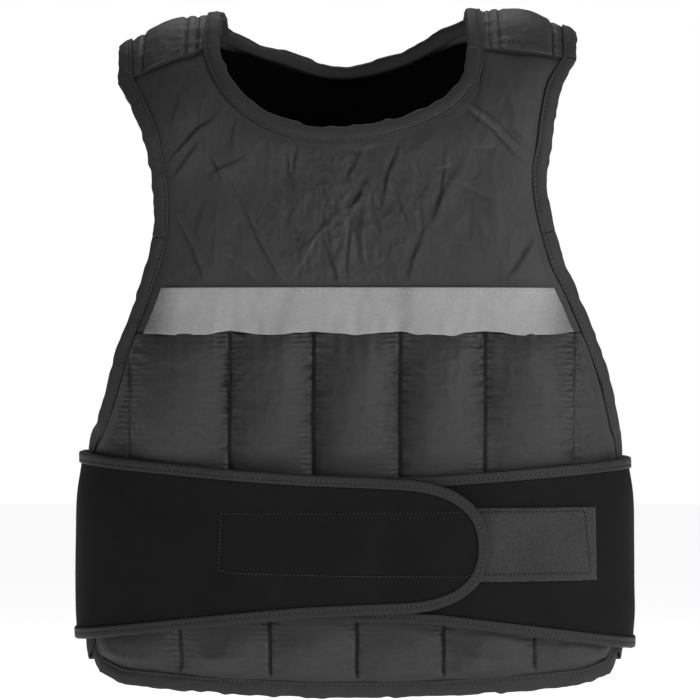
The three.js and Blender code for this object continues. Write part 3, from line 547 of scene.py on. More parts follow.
def cloth_material(name, dark, light, roughness, pitch, relief, sheen=0.0, specular=0.35, threads=0.5):
    """A woven cloth. dark and light are its tones in the valleys and on the raised threads; a stored point
    attribute darkens creases and grooves with painted shade and lightens crests with a painted highlight.
    """
    material, tree, shader = new_material(name)
    weave = add_group(tree, CROSSED_THREADS, {"Pitch": pitch, "Unevenness": 2.2})
    wear = add_group(tree, RUBBED_CLOTH, {"Blotch Size": 0.05, "Speck Size": 0.0015})
    blotches = add_math(tree, "MULTIPLY", wear, 1 - threads)
    share = add_math(tree, "MULTIPLY_ADD", weave, threads, blotches)
    # The stored attribute adds painted shade in creases and grooves and a painted highlight on crests to the
    # weave and wear.
    painted_shade_and_highlight = add_node(tree, "ShaderNodeAttribute", attribute_name="painted_shade_and_highlight")
    weave_wear_and_painted_shade = add_math(tree, "MULTIPLY_ADD", painted_shade_and_highlight.outputs["Fac"], PAINTED_SHADE_SHARE, share)
    tone = add_node(tree, "ShaderNodeValToRGB", {0: weave_wear_and_painted_shade})
    # Stops: painted shade for creases at a third of the dark tone, the dark valleys, the light threads, and
    # brighter still for the lightest threads and the painted highlight on crests.
    crease, valley = tone.color_ramp.elements
    crease.position, crease.color = 0.0, shade(dark, 0.35)
    valley.position, valley.color = 0.25, shade(dark, 1)
    for position, strength in ((0.75, 1.0), (1.0, 1.5)):
        tone.color_ramp.elements.new(position).color = shade(light, strength)
    rough = add_node(tree, "ShaderNodeMapRange", {
        "Value": wear, "To Min": roughness + ROUGH_SPREAD, "To Max": roughness - ROUGH_SPREAD,
    })
    gather = add_node(tree, "ShaderNodeAttribute", attribute_name="gather")
    place = add_node(tree, "ShaderNodeTexCoord").outputs["Object"]
    ribs = add_node(tree, "ShaderNodeTexWave", {
        "Vector": place, "Scale": RIB_SCALE, "Distortion": 3.5, "Detail": 2.0, "Detail Scale": 1.6,
    }, bands_direction="Z")
    drawn = add_math(tree, "MULTIPLY", gather.outputs["Fac"], ribs.outputs["Fac"])
    ruffle = add_node(tree, "ShaderNodeBump", {"Distance": RIB_HEIGHT, "Height": drawn})
    woven = add_node(tree, "ShaderNodeBump", {
        "Normal": ruffle.outputs[0], "Distance": relief, "Strength": 0.6, "Height": share,
    })
    feed(tree, shader, {
        "Base Color": tone.outputs[0], "Roughness": rough.outputs[0], "Normal": woven.outputs[0],
        "Specular IOR Level": specular, "Sheen Weight": sheen, "Sheen Roughness": 0.45,
    })
    return material


SHELL_NYLON = cloth_material(
    "shell_nylon_weave", (0.019, 0.019, 0.020), (0.042, 0.042, 0.043), 0.58, 0.0011, 0.00012, specular=0.28
)
front_chest.data.materials.append(SHELL_NYLON)
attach(front_chest, "root")
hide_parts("front_chest")

# Front pockets
# One row of upright weight channels over another that is half a channel out of step. Each channel is a
# tube of nylon round its weight, sewn down at both sides, where the cloth gathers into short puckers.
UPPER_SEAMS = [125.5, 229, 313, 400, 486, 579]       # pixel columns of the sewn lines
LOWER_SEAMS = [72, 179, 269.5, 357, 444, 537, 642]
POCKET_PIXEL = 0.7345 * MM                           # a photo pixel at the channels, further forward
ROW_CHANGE = -0.385                                  # between the two rows, behind the belt
POCKET_TOP = -0.234
POCKET_FOOT = -0.497
BELT_TOP, BELT_FOOT, BELT_EASE = -0.326, -0.460, 0.008   # the band where the belt holds the channels flat
CHANNEL_SWELL = 5.2 * MM
GROOVE_DEPTH, GROOVE_REACH = 2.4 * MM, 1.2 * MM
PUCKER_HEIGHT, PUCKER_REACH = 1.3 * MM, 7 * MM


def seam_lines(columns, pixel=POCKET_PIXEL):
    return np.array([(column - PHOTO_MIDDLE_X) * pixel for column in columns])


def roundness(x, lines):
    """From 0 on each line to 1 half way to the next."""
    right = np.clip(np.searchsorted(lines, x), 1, len(lines) - 1)
    share = np.clip((x - lines[right - 1]) / (lines[right] - lines[right - 1]), 0, 1)
    return np.sin(math.pi * share)


def channel_relief(points, seams):
    """Grooves and puckers at the sewn lines, and the roundness of the channels between them."""
    x, z = points[:, 0], points[:, 2]
    lines = seam_lines(seams)
    wander = 0.5 * MM * lattice_noise(points * np.array([0.2, 0.2, 1]), 0.02, 21)
    offset = x[:, None] + wander[:, None] - lines[None, :]
    nearest = np.abs(offset).argmin(1)
    side = offset[np.arange(len(x)), nearest]
    away = np.abs(side)
    crown = CHANNEL_SWELL * (roundness(x, lines) ** 0.5 - 0.62)
    groove = -GROOVE_DEPTH * peak(away, 0, GROOVE_REACH)
    own = lines[nearest] * 31 + np.sign(side) * 0.7
    pucker_place = np.stack([own + side * 0.35, np.zeros_like(x), z + 0.22 * away], 1)
    pucker = lattice_noise(pucker_place, 4.6 * MM, 22) + 0.6 * lattice_noise(pucker_place, 2.9 * MM, 23)
    stronger = 0.7 + 0.8 * smooth_step(-0.300, -0.240, z)
    near = np.exp(-away / PUCKER_REACH) * smooth_step(0.2 * MM, 2.5 * MM, away)
    gather = stronger * near * np.where(side < 0, 1.0, 0.45)
    return crown + groove + PUCKER_HEIGHT * stronger * near * pucker, gather


def pocket_relief(points):
    x, z = points[:, 0], points[:, 2]
    lower = smooth_step(ROW_CHANGE + 0.004, ROW_CHANGE - 0.004, z)
    upper_height, upper_gather = channel_relief(points, UPPER_SEAMS)
    lower_height, lower_gather = channel_relief(points, LOWER_SEAMS)
    height = upper_height * (1 - lower) + lower_height * lower
    height += 1.0 * MM * lattice_noise(points * np.array([1, 1, 0.5]), 0.018, 24)
    height += 0.42 * MM * crumple(points, 0.012, 25)
    height += 0.16 * MM * crumple(points, 0.005, 26)
    top = np.exp(-(POCKET_TOP - z) / 0.016)
    gather_place = np.stack([x, np.zeros_like(x), z * 0.25], 1)
    height += 1.1 * MM * top * lattice_noise(gather_place, 0.0052, 27)
    low = np.exp(-(z - POCKET_FOOT) / 0.016)
    height += 1.7 * MM * low * lattice_noise(gather_place, 0.0066, 28)
    return height, upper_gather * (1 - lower) + lower_gather * lower


def make_pockets(node, levels, edges, finer=None):
    pockets = fine_copy(node, levels, finer=finer)
    points, normals = read_points(pockets)
    open_cloth = free_cloth(points, normals, edges, faces_out=0.15, clear=(0.4 * MM, 9 * MM))
    belted = smooth_step(BELT_TOP + BELT_EASE, BELT_TOP - BELT_EASE, points[:, 2])
    belted *= smooth_step(BELT_FOOT - BELT_EASE, BELT_FOOT + BELT_EASE, points[:, 2])
    height, gather = pocket_relief(points)
    height = height * (1 - belted) + np.minimum(height, 0) * belted
    # Painted shade in the channels' grooves and creases and a painted highlight on their crests.
    mark_painted_shade_and_highlight(pockets, open_cloth * height, 0.6 * MM)
    store(pockets, "gather", open_cloth * gather)
    hang(pockets, points, open_cloth * height)
    pockets.data.materials.append(SHELL_NYLON)
    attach(pockets, "root")
    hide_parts(node)
    return pockets


front_pockets = make_pockets("front_pockets", 3, ["hem_binding_front"], finer=front_faces)

# Back chest, back pockets and lining
# The back is made as the front is, with its weight channels in the same two rows. Thin black cloth lines it
# inside, and shows through the neck opening; its near-zero tone is the lining's own black with painted shade
# of the hollow inside.
back_chest = fine_copy("back_chest", 3, soft_face=True)
points, normals = read_points(back_chest)
BACK_EDGES = [
    "neck_binding_back", "armhole_binding_back_left", "armhole_binding_back_right", "hem_binding_back",
]
open_cloth = free_cloth(points, normals, BACK_EDGES)
height = 1.2 * MM * lattice_noise(points * np.array([1, 1, 0.45]), 0.022, 31)
height += 0.5 * MM * crumple(points * np.array([1, 1, 0.5]), 0.020, 32)
# Painted shade in the back's creases and a painted highlight on its crests.
mark_painted_shade_and_highlight(back_chest, open_cloth * height, 0.6 * MM)
hang(back_chest, points, open_cloth * height)
back_chest.data.materials.append(SHELL_NYLON)
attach(back_chest, "root")
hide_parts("back_chest")
back_pockets = make_pockets("back_pockets", 3, ["hem_binding_back"])

# Far darker than black cloth: the lining's own black with painted shade of the hollow inside the vest.
LINING_CLOTH_AND_INSIDE_SHADE = cloth_material(
    "lining_weave_and_inside_shade", (0.0004, 0.0004, 0.0005), (0.0012, 0.0012, 0.0013), 0.9, 0.0008, 0.00006,
    specular=0.03,
)
back_lining = fine_copy("back_lining", 3, crisp=1.0)
points, normals = read_points(back_lining)
hang(back_lining, points)
back_lining.data.materials.append(LINING_CLOTH_AND_INSIDE_SHADE)
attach(back_lining, "root")
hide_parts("back_lining")

# Shoulder pads
# Padded yokes over the shoulders, stitched along their length in narrow ribs and sewn to both panels.
PAD_RIBS = {"left": (133.5, 145, 187, 198, 212), "right": (484, 489, 499, 551, 563)}   # pixel columns
PAD_EDGES = {
    "left": ["pad_binding_neck_left", "pad_binding_arm_left"],
    "right": ["pad_binding_neck_right", "pad_binding_arm_right"],
}
PAD_PIXEL = 0.757 * MM                               # a photo pixel at the pads, further back
PAD_GROOVE = 1.5 * MM                                # how deep and how wide each stitched rib is drawn in
pads = {}
for hand in ("left", "right"):
    node = "shoulder_pad_" + hand
    pad = fine_copy(node, 4)
    points, normals = read_points(pad)
    open_cloth = free_cloth(points, normals, PAD_EDGES[hand], clear=(0.2 * MM, 4 * MM))
    away = np.abs(points[:, :1] - seam_lines(PAD_RIBS[hand], PAD_PIXEL)).min(1)
    height = -PAD_GROOVE * peak(away, 0, PAD_GROOVE)
    along = np.stack([points[:, 0] * 0.3, points[:, 1], points[:, 2]], 1)
    height += 0.7 * MM * np.exp(-away / (6 * MM)) * lattice_noise(along, 0.005, 41)
    height += 0.7 * MM * lattice_noise(points, 0.016, 42) + 0.25 * MM * crumple(points, 0.009, 43)
    # Painted shade in the pad's rib grooves and a painted highlight on its crests.
    mark_painted_shade_and_highlight(pad, open_cloth * height, 0.3 * MM)
    hang(pad, points, open_cloth * height, over_shoulder=True)
    pad.data.materials.append(SHELL_NYLON)
    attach(pad, "root")
    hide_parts(node)
    pads[hand] = pad

# Edge tapes
# Every edge of the panels and pads, and of the belt, is bound with a tape folded over it and sewn through
# near its inner edge. The folded tape puffs up a little beside its row of stitches.
CORNERS = 10          # in each section of a tape's solid, counted from the seam side of its outer leg
BINDING_SECTION = [   # share of the width from the seam to the fold, and height over the flat tape in mm
    {"share": 0.00, "swell": -0.30},
    {"share": 0.05, "swell": 0.05},
    {"share": 0.14, "swell": 0.10},
    {"share": 0.20, "swell": -0.38},
    {"share": 0.27, "swell": 0.12},
    {"share": 0.42, "swell": 0.40},
    {"share": 0.62, "swell": 0.50},
    {"share": 0.80, "swell": 0.35},
    {"share": 0.93, "swell": 0.05},
]
BELT_SECTION = [
    {"share": 0.00, "swell": -0.20},
    {"share": 0.06, "swell": 0.05},
    {"share": 0.22, "swell": 0.18},
    {"share": 0.38, "swell": 0.12},
    {"share": 0.47, "swell": -0.22},
    {"share": 0.56, "swell": 0.12},
    {"share": 0.74, "swell": 0.20},
    {"share": 0.93, "swell": 0.00},
]
FOLD_STEPS = 5        # of the round fold
HOLLOW_SIDES = [(0.0, -1), (0.5, -1), (0.97, -1), (0.97, 1), (0.5, 1), (0.0, 1)]   # share of width, and leg


def tape_sections(node):
    """The sections of a tape's solid in order along it, each with its corners in the same order."""
    cage = bmesh.new()
    cage.from_mesh(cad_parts[node].data)
    bmesh.ops.remove_doubles(cage, verts=cage.verts, dist=MERGE)
    cage.verts.ensure_lookup_table()
    place = np.array([vertex.co for vertex in cage.verts])
    reached = [0]
    seen = {0}
    for index in reached:
        for edge in cage.verts[index].link_edges:
            other = edge.other_vert(cage.verts[index]).index
            if other not in seen:
                seen.add(other)
                reached.append(other)
    end = reached[-1]
    ring = [int(i) for i in np.argsort(np.linalg.norm(place - place[end], axis=1))[:CORNERS]]
    rings = []
    used = set()
    while ring:
        rings.append(ring)
        used.update(ring)
        beyond = {e.other_vert(cage.verts[i]).index for i in ring for e in cage.verts[i].link_edges}
        ring = sorted(beyond - used)
    ordered = []
    for ring in rings:
        members = set(ring)
        loop = {}
        for i in ring:
            loop[i] = [
                edge.other_vert(cage.verts[i]).index
                for edge in cage.verts[i].link_edges
                if edge.other_vert(cage.verts[i]).index in members
                and any(any(v.index not in members for v in face.verts) for face in edge.link_faces)
            ]
        walk = [ring[0], loop[ring[0]][0]]
        while len(walk) < CORNERS:
            walk.append(next(i for i in loop[walk[-1]] if i != walk[-2]))
        ordered.append(place[walk])
    cage.free()
    first = len(ordered) // 2
    corners = ordered[first]
    sides = np.linalg.norm(np.roll(corners, -1, 0) - corners, axis=1)
    facing = outward(corners.mean(0)[None])[0]
    joined = np.minimum(sides, np.roll(sides, 1))
    widest = np.maximum(sides, np.roll(sides, 1))
    seam_side = (joined < 1.5 * MM) & (widest > 5 * MM)
    start = int(np.where(seam_side, corners @ facing, -9).argmax())
    forward = sides[start] > sides[start - 1]
    corners = np.roll(corners, -start, 0) if forward else np.roll(corners[::-1], start + 1, 0)
    ordered[first] = corners
    for step in (1, -1):
        i = first + step
        while 0 <= i < len(ordered):
            guide = ordered[i - step] - ordered[i - step].mean(0)
            loose = ordered[i] - ordered[i].mean(0)
            turns = [np.roll(way, shift, 0) for way in (loose, loose[::-1]) for shift in range(CORNERS)]
            best = min(turns, key=lambda turned: np.abs(turned - guide).sum())
            ordered[i] = best + ordered[i].mean(0)
            i += step
    return np.array(ordered)


def smooth_run(values, count):
    """A curve through the values, sampled at that many even steps."""
    at = np.linspace(0, len(values) - 1, count)
    low = np.minimum(at.astype(int), len(values) - 2)
    t = (at - low)[:, None]
    before = values[np.maximum(low - 1, 0)]
    after = values[np.minimum(low + 2, len(values) - 1)]
    start, end = values[low], values[low + 1]
    enter, leave = (end - before) / 2, (after - start) / 2
    return (
        start * (2 * t ** 3 - 3 * t ** 2 + 1) + enter * (t ** 3 - 2 * t ** 2 + t)
        + end * (3 * t ** 2 - 2 * t ** 3) + leave * (t ** 3 - t ** 2)
    )


def folded_tape(node, section, step, thickness, fold, pucker, seed):
    """The tape as cloth, and the run of its stitch groove on the outer leg."""
    corners = tape_sections(node)
    inner_middle = (corners[:, 0] + corners[:, 5]) / 2
    fold_middle = (corners[:, 1] + corners[:, 4]) / 2
    rise = (corners[:, 0] - corners[:, 5]) / 2
    length = run_along(inner_middle)[-1]
    count = int(length / step)
    inner_run = smooth_run(inner_middle, count)
    fold_run = smooth_run(fold_middle, count)
    rise_run = smooth_run(rise, count)
    across = fold_run - inner_run
    width = np.linalg.norm(across, axis=1, keepdims=True)
    across /= width
    half = np.linalg.norm(rise_run, axis=1, keepdims=True)
    up = rise_run / half
    ring = []
    for row in section:
        base = inner_run + across * width * row["share"] + up * half
        loose = np.sin(math.pi * min(row["share"] + 0.1, 1))
        noise = lattice_noise(inner_run + across * row["share"] * 0.01, 0.007, seed)
        noise += 0.6 * lattice_noise(inner_run + across * row["share"] * 0.02, 0.0035, seed + 1)
        ring.append(base + up * (row["swell"] * MM + pucker * loose * noise[:, None]))
    for i in range(FOLD_STEPS + 1):
        angle = math.radians(90 - 180 * i / FOLD_STEPS)
        noise = lattice_noise(fold_run + up * half * math.sin(angle), 0.006, seed + 2)[:, None]
        out = fold * math.cos(angle) * (1 + 0.35 * noise) + pucker * noise
        ring.append(fold_run + across * out + up * half * math.sin(angle))
    for share in (0.5, 0.0):
        ring.append(inner_run + across * width * share - up * half)
    hollow = half - thickness
    for share, side in HOLLOW_SIDES:
        ring.append(inner_run + across * width * share + side * up * hollow)
    grid = np.array(ring).transpose(1, 0, 2)
    points = grid.reshape(-1, 3)
    around = grid.shape[1]
    faces = []
    for i in range(count - 1):
        for k in range(around):
            after = (k + 1) % around
            low, high = i * around, (i + 1) * around
            faces.append((low + k, low + after, high + after, high + k))
    faces.append(tuple(range(around)))
    faces.append(tuple(reversed(range((count - 1) * around, count * around))))
    belted = node.startswith("belt")
    points = points + outward(points) * hang_sway(points, belted)[:, None]
    mesh = bpy.data.meshes.new(node + "_cloth")
    mesh.from_pydata(points.tolist(), [], faces)
    shaped = bmesh.new()
    shaped.from_mesh(mesh)
    bmesh.ops.recalc_face_normals(shaped, faces=shaped.faces)
    if shaped.calc_volume(signed=True) < 0:
        bmesh.ops.reverse_faces(shaped, faces=shaped.faces)
    shaped.to_mesh(mesh)
    shaped.free()
    piece = bpy.data.objects.new(node + "_cloth", mesh)
    scene.collection.objects.link(piece)
    shade_smooth(mesh)
    girth = np.linalg.norm(np.diff(grid, axis=1), axis=2).mean(0)
    round_it = np.concatenate([[0], np.cumsum(girth)])
    flat = np.stack(np.broadcast_arrays(run_along(inner_run)[:, None], round_it[None, :]), 2)
    write_map(mesh, flat.reshape(-1, 2))
    groove = min(range(len(section) - 1), key=lambda k: section[k]["swell"] if k else 0)
    # The stitch groove is darkened: painted shade in the groove.
    groove_painted_shade = np.zeros(grid.shape[:2])
    groove_painted_shade[:, groove] = -1.0 if belted else -0.7
    store(piece, "painted_shade_and_highlight", groove_painted_shade.ravel())
    sewn = grid[:, groove] + up * 0.12 * MM
    sewn = sewn + outward(sewn) * hang_sway(sewn, belted)[:, None]
    return piece, sewn, length


EDGE_TAPE = cloth_material(
    "edge_tape_ribs", (0.015, 0.015, 0.016), (0.037, 0.037, 0.038), 0.66, 0.0009, 0.00012, specular=0.25
)
BELT_TAPE = cloth_material(
    "belt_tape_ribs", (0.009, 0.009, 0.010), (0.028, 0.028, 0.029), 0.62, 0.0013, 0.0002, specular=0.25
)
EDGE = {"section": BINDING_SECTION, "thickness": 1.2 * MM, "fold": 1.5 * MM, "pucker": 0.7 * MM}
BELT_EDGE = {"section": BELT_SECTION, "thickness": 0.9 * MM, "fold": 1.2 * MM, "pucker": 0.05 * MM}
TAPE_STEP = 2.2 * MM
TAPES = {
    "neck_binding_front": "front_chest",
    "neck_binding_back": "back_chest",
    "armhole_binding_front_left": "front_chest",
    "armhole_binding_front_right": "front_chest",
    "armhole_binding_back_left": "back_chest",
    "armhole_binding_back_right": "back_chest",
    "hem_binding_front": "front_pockets",
    "hem_binding_back": "back_pockets",
    "pad_binding_neck_left": "shoulder_pad_left",
    "pad_binding_arm_left": "shoulder_pad_left",
    "pad_binding_neck_right": "shoulder_pad_right",
    "pad_binding_arm_right": "shoulder_pad_right",
    "belt_binding_left": "belt_left",
    "belt_binding_right": "belt_right",
}
sewn_runs = {}
for order, (node, bound) in enumerate(TAPES.items()):
    belted = node.startswith("belt")
    shape = BELT_EDGE if belted else EDGE
    piece, sewn, length = folded_tape(node, step=TAPE_STEP, seed=60 + 3 * order, **shape)
    sewn_runs[node] = sewn
    piece.data.materials.append(BELT_TAPE if belted else EDGE_TAPE)
    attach(piece, "root")
    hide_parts(node)

# Reflective strip
# A band of satin reflective cloth sewn on over the foot of the chest, along its top and its bottom. The
# bottom is drawn in and out by the gathers of the channels below it.
STRIP_FOOT = -0.234
STRIP_EASE = 0.018               # over this height the foot's unevenness fades out
STRIP_LIFT = 0.9 * MM
strip = fine_copy("reflective_strip", 4, crisp=1.0)
points, normals = read_points(strip)
x, z = points[:, 0], points[:, 2]
low = smooth_step(STRIP_FOOT + STRIP_EASE, STRIP_FOOT, z)
crown = roundness(x, seam_lines(UPPER_SEAMS))
flat = np.stack([x, np.zeros_like(x), z * 0.5], 1)
height = 0.8 * MM * lattice_noise(flat, 0.020, 51) + 0.35 * MM * lattice_noise(flat, 0.006, 52)
height += low * (2.2 * crown - 0.3) * MM + 0.5 * low * MM * lattice_noise(flat, 0.0055, 53)
points += outward(points) * (hang_sway(points) + STRIP_LIFT + height)[:, None]
points[:, 2] += low * (0.8 - 2.8 * crown) * MM + low * 0.9 * MM * lattice_noise(flat, 0.009, 54)
write_points(strip, points)
# The strip is given painted shade at both ends, where it curves away, and along two creases
ends = smooth_step(0.128, 0.158, np.abs(x - 0.003))
slant = peak(x - 0.35 * (z + 0.202), -0.046, 0.006)
upright = peak(x, 0.037, 0.007)
store(strip, "painted_shade_and_highlight", -0.9 * ends - 0.3 * slant - 0.4 * upright)
give_cloth_map(strip)
REFLECTIVE_CLOTH = cloth_material(
    "reflective_satin", (0.22, 0.22, 0.225), (0.37, 0.37, 0.375), 0.62, 0.0012, 0.00008,
    specular=0.2, threads=0.35,
)
strip.data.materials.append(REFLECTIVE_CLOTH)
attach(strip, "root")
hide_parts("reflective_strip")

# Waist belt
# Two halves of cloth-faced neoprene that meet at the back. The left half wraps over the right half and closes
# on it with hook-and-loop tape: loops on the under half, hooks on the back of the over half.
NEOPRENE = cloth_material(
    "belt_neoprene_face", (0.0045, 0.0045, 0.0047), (0.0125, 0.0125, 0.013), 0.85, 0.0010, 0.00010,
    specular=0.09, threads=0.4,
)
LOOP_PILE = cloth_material(
    "loop_pile", (0.008, 0.008, 0.009), (0.050, 0.050, 0.052), 0.9, 0.0012, 0.0005, sheen=0.15, threads=0.15
)
HOOK_TAPE = cloth_material(
    "hook_rows", (0.010, 0.010, 0.011), (0.035, 0.035, 0.036), 0.6, 0.0014, 0.0004, threads=0.8
)
PILE_HEIGHT, PILE_SIZE = 0.25 * MM, 1.6 * MM
PATCHES = {
    "loop_patch": {"look": LOOP_PILE, "slot": "loop_tape", "carrier": "right"},
    "hook_patch": {"look": HOOK_TAPE, "slot": "hook_tape", "carrier": "left"},
}
belts = {}
for hand in ("left", "right"):
    node = "belt_" + hand
    belt = fine_copy(node, 3, crisp=1.0)
    points, normals = read_points(belt)
    hang(belt, points, belted=True)
    belt.data.materials.append(NEOPRENE)
    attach(belt, "root")
    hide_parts(node)
    belts[hand] = belt
patches = {}
for node, kind in PATCHES.items():
    patch = fine_copy(node, 4, crisp=1.0)
    points, normals = read_points(patch)
    points += outward(points) * hang_sway(points, belted=True)[:, None]
    if node == "loop_patch":
        fuzz = smooth_step(0.3, 0.7, (normals * outward(points)).sum(1))
        points += outward(points) * (PILE_HEIGHT * fuzz * lattice_noise(points, PILE_SIZE, 73))[:, None]
    write_points(patch, points)
    give_cloth_map(patch)
    patch.data.materials.append(kind["look"])
    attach(patch, "root")
    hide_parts(node)
    patches[node] = patch

# Stitches
# The tapes, the strip, the patches, the channels and the feet of the pads are sewn with one row of thread.
# A stitch is a short rounded bar half sunk in the cloth. Round the patches, near-black bars are painted shade
# in the needle holes.
def stitch_tree():
    """Rounded bars along rows of edges, each turned to follow its row."""
    tree = bpy.data.node_groups.new("stitch_rows", "GeometryNodeTree")
    tree.interface.new_socket("Rows", in_out="INPUT", socket_type="NodeSocketGeometry")
    for name in ("Pitch", "Length", "Thickness", "Unevenness"):
        tree.interface.new_socket(name, in_out="INPUT", socket_type="NodeSocketFloat")
    tree.interface.new_socket("Thread", in_out="INPUT", socket_type="NodeSocketMaterial")
    tree.interface.new_socket("Stitches", in_out="OUTPUT", socket_type="NodeSocketGeometry")
    inputs = tree.nodes.new("NodeGroupInput").outputs
    curve = add_node(tree, "GeometryNodeMeshToCurve", {0: inputs["Rows"]})
    even = {"Curve": curve.outputs[0], "Length": inputs["Pitch"]}
    even = add_node(tree, "GeometryNodeResampleCurve", even, mode="LENGTH")
    tangent = add_node(tree, "GeometryNodeInputTangent")
    align = add_node(tree, "FunctionNodeAlignRotationToVector", {"Vector": tangent.outputs[0]}, axis="Z")
    bar = add_node(tree, "GeometryNodeMeshUVSphere", {"Segments": 5, "Rings": 4, "Radius": 0.5})
    shortest = add_math(tree, "SUBTRACT", 1, inputs["Unevenness"])
    uneven = {2: shortest, 3: 1.0, "Seed": SEED}
    uneven = add_node(tree, "FunctionNodeRandomValue", uneven, data_type="FLOAT")
    long = add_math(tree, "MULTIPLY", inputs["Length"], uneven.outputs[1])
    size = add_node(tree, "ShaderNodeCombineXYZ", {0: inputs["Thickness"], 1: inputs["Thickness"], 2: long})
    place = add_node(tree, "GeometryNodeInstanceOnPoints", {
        "Points": even.outputs[0], "Instance": bar.outputs[0], "Rotation": align.outputs[0],
        "Scale": size.outputs[0],
    })
    real = add_node(tree, "GeometryNodeRealizeInstances", {0: place.outputs[0]})
    thread = {"Geometry": real.outputs[0], "Material": inputs["Thread"]}
    add_node(tree, "NodeGroupOutput", {0: add_node(tree, "GeometryNodeSetMaterial", thread).outputs[0]})
    return tree


STITCH_TREE = stitch_tree()


def thread_material(name, tone):
    material, tree, shader = new_material(name)
    wear = add_group(tree, RUBBED_CLOTH, {"Blotch Size": 0.03, "Speck Size": 0.0008})
    ramp = add_node(tree, "ShaderNodeValToRGB", {0: wear})
    for stop, position, strength in zip(ramp.color_ramp.elements, (0.3, 0.7), (0.7, 1.25)):
        stop.position = position
        stop.color = (tone * strength, tone * strength, tone * (strength + 0.02), 1)
    feed(tree, shader, {"Base Color": ramp.outputs[0], "Roughness": 0.5})
    return material


DARK_THREAD = thread_material("dark_thread", 0.010)
# Near-black thread for the yoke stitches, also used as painted shade in the needle holes round the patches.
BLACK_THREAD_AND_HOLE_SHADE = thread_material("belt_thread", 0.0025)
GREY_THREAD = thread_material("grey_thread", 0.055)
PALE_THREAD = thread_material("pale_thread", 0.5)
Stitch = namedtuple("Stitch", "pitch length thickness")
TAPE_STITCH = Stitch(3.6 * MM, 2.2 * MM, 0.7 * MM)
STRIP_STITCH = Stitch(4.1 * MM, 2.9 * MM, 0.6 * MM)
NEEDLE_HOLE_SHADE = Stitch(2.8 * MM, 2.0 * MM, 1.5 * MM)
PATCH_STITCH = Stitch(2.8 * MM, 0.9 * MM, 0.4 * MM)
CHANNEL_STITCH = Stitch(3.4 * MM, 2.3 * MM, 0.5 * MM)
YOKE_STITCH = Stitch(3.4 * MM, 2.3 * MM, 0.9 * MM)


def sew(name, rows, stitch, thread):
    """Rows of stitches along lists of points, as one piece."""
    corners = [tuple(point) for row in rows for point in row]
    edges = []
    start = 0
    for row in rows:
        edges.extend((start + i, start + i + 1) for i in range(len(row) - 1))
        start += len(row)
    mesh = bpy.data.meshes.new(name + "_rows")
    mesh.from_pydata(corners, edges, [])
    piece = bpy.data.objects.new(name, mesh)
    scene.collection.objects.link(piece)
    layout = piece.modifiers.new("stitching", "NODES")
    layout.node_group = STITCH_TREE
    sizes = {
        "Pitch": stitch.pitch, "Length": stitch.length, "Thickness": stitch.thickness, "Unevenness": 0.2,
        "Thread": thread,
    }
    for socket in STITCH_TREE.interface.items_tree:
        if socket.name in sizes:
            layout[socket.identifier] = sizes[socket.name]
    stitches = applied(piece)
    piece.modifiers.remove(layout)
    piece.data = stitches
    bpy.data.meshes.remove(mesh)
    stitches.name = name
    shade_smooth(stitches)
    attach(piece, "root")


def photo_line(places, pixel):
    return [photo_place(column, row, pixel) for column, row in places]


def lay_on(tree, line, step=1.5 * MM, side=-1, lift=0.15 * MM):
    """Drops a line of x, z places onto the front or the back of the vest."""
    line = np.array(line)
    run = run_along(line)
    at = np.linspace(0, run[-1], max(int(run[-1] / step), 2))
    x, z = np.interp(at, run, line[:, 0]), np.interp(at, run, line[:, 1])
    laid = []
    for across, up in zip(x, z):
        hit = tree.ray_cast(Vector((across, side * 0.5, up)), Vector((0, -side, 0)))
        if hit[0]:
            laid.append(hit[0] + Vector((0, side * lift, 0)))
    return laid


tape_rows = [run for node, run in sewn_runs.items() if not node.startswith("belt")]
sew("tape_stitches", tape_rows, TAPE_STITCH, GREY_THREAD)
belt_rows = [run for node, run in sewn_runs.items() if node.startswith("belt")]
sew("belt_tape_stitches", belt_rows, TAPE_STITCH, GREY_THREAD)

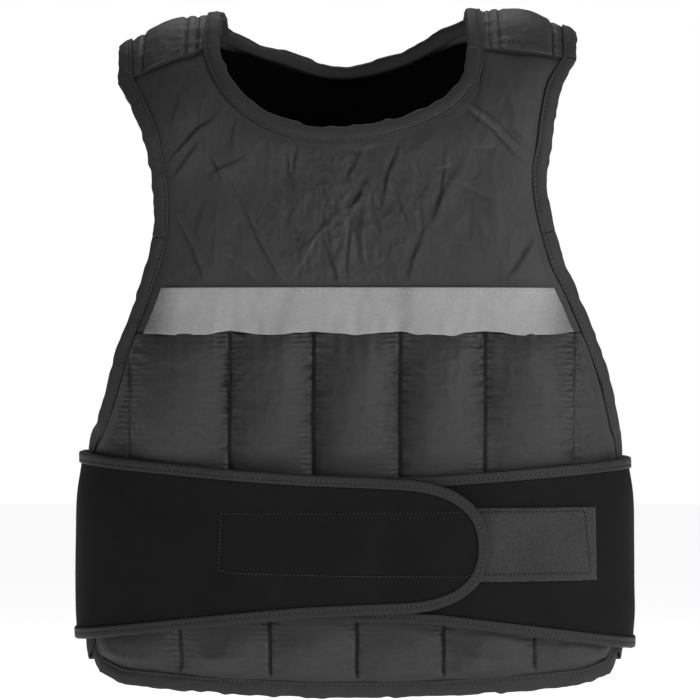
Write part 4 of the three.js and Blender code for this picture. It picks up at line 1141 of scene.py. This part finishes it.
STRIP_ROW = 292.5
STRIP_ENDS = (292, 554)          # the row shows on the right, and sinks into the cloth on the left
strip_tree = surface_tree([strip])
strip_line = [photo_place(column, STRIP_ROW) for column in np.linspace(*STRIP_ENDS, 60)]
strip_rows = [lay_on(strip_tree, strip_line)]
sew("strip_stitches", strip_rows, STRIP_STITCH, PALE_THREAD)

HOOK_OUTLINE = [
    (479, 544), (478, 560), (473, 573), (466, 577), (340, 576), (229, 573), (218, 570), (221, 513.5),
    (340, 513.5), (440, 513), (466, 511.5), (477, 515), (479.5, 530), (479, 544),
]
LOOP_OUTLINE = [(482, 512.5), (540, 512.5), (587, 512.5), (590, 545), (593, 575), (540, 575), (482, 575)]
belt_tree = surface_tree([belts["left"]])
hook_row = lay_on(belt_tree, photo_line(HOOK_OUTLINE, POCKET_PIXEL))
loop_tree = surface_tree([patches["loop_patch"]])
loop_row = lay_on(loop_tree, photo_line(LOOP_OUTLINE, POCKET_PIXEL))
# Near-black bars at the needle holes are painted shade.
sew("belt_hole_shade", [hook_row, loop_row], NEEDLE_HOLE_SHADE, BLACK_THREAD_AND_HOLE_SHADE)
sew("belt_stitches", [hook_row[1:], loop_row[1:]], PATCH_STITCH, GREY_THREAD)

UPPER_SPAN = (338, 462)          # pixel rows between which the channels' sewn lines run
LOWER_SPAN = (600, 684)
BACK_LIFT = 0.1 * MM
channel_rows = []
for side, pockets in ((-1, front_pockets), (1, back_pockets)):
    tree = surface_tree([pockets])
    for seams, span in ((UPPER_SEAMS, UPPER_SPAN), (LOWER_SEAMS[1:-1], LOWER_SPAN)):
        for column in seams:
            line = photo_line([(column, row) for row in span], POCKET_PIXEL)
            channel_rows.append(lay_on(tree, line, side=side, lift=BACK_LIFT))
sew("channel_stitches", channel_rows, CHANNEL_STITCH, DARK_THREAD)

YOKE_ROWS = [
    [(192, 49), (181, 54), (175, 58), (166, 64), (158, 67), (143, 73)],
    [(490, 47), (506, 45.5), (535, 46.5), (562, 50)],
]
yoke_tree = surface_tree([front_chest, pads["left"], pads["right"]])
yoke_rows = [lay_on(yoke_tree, photo_line(row, PAD_PIXEL)) for row in YOKE_ROWS]
sew("yoke_stitches", yoke_rows, YOKE_STITCH, BLACK_THREAD_AND_HOLE_SHADE)
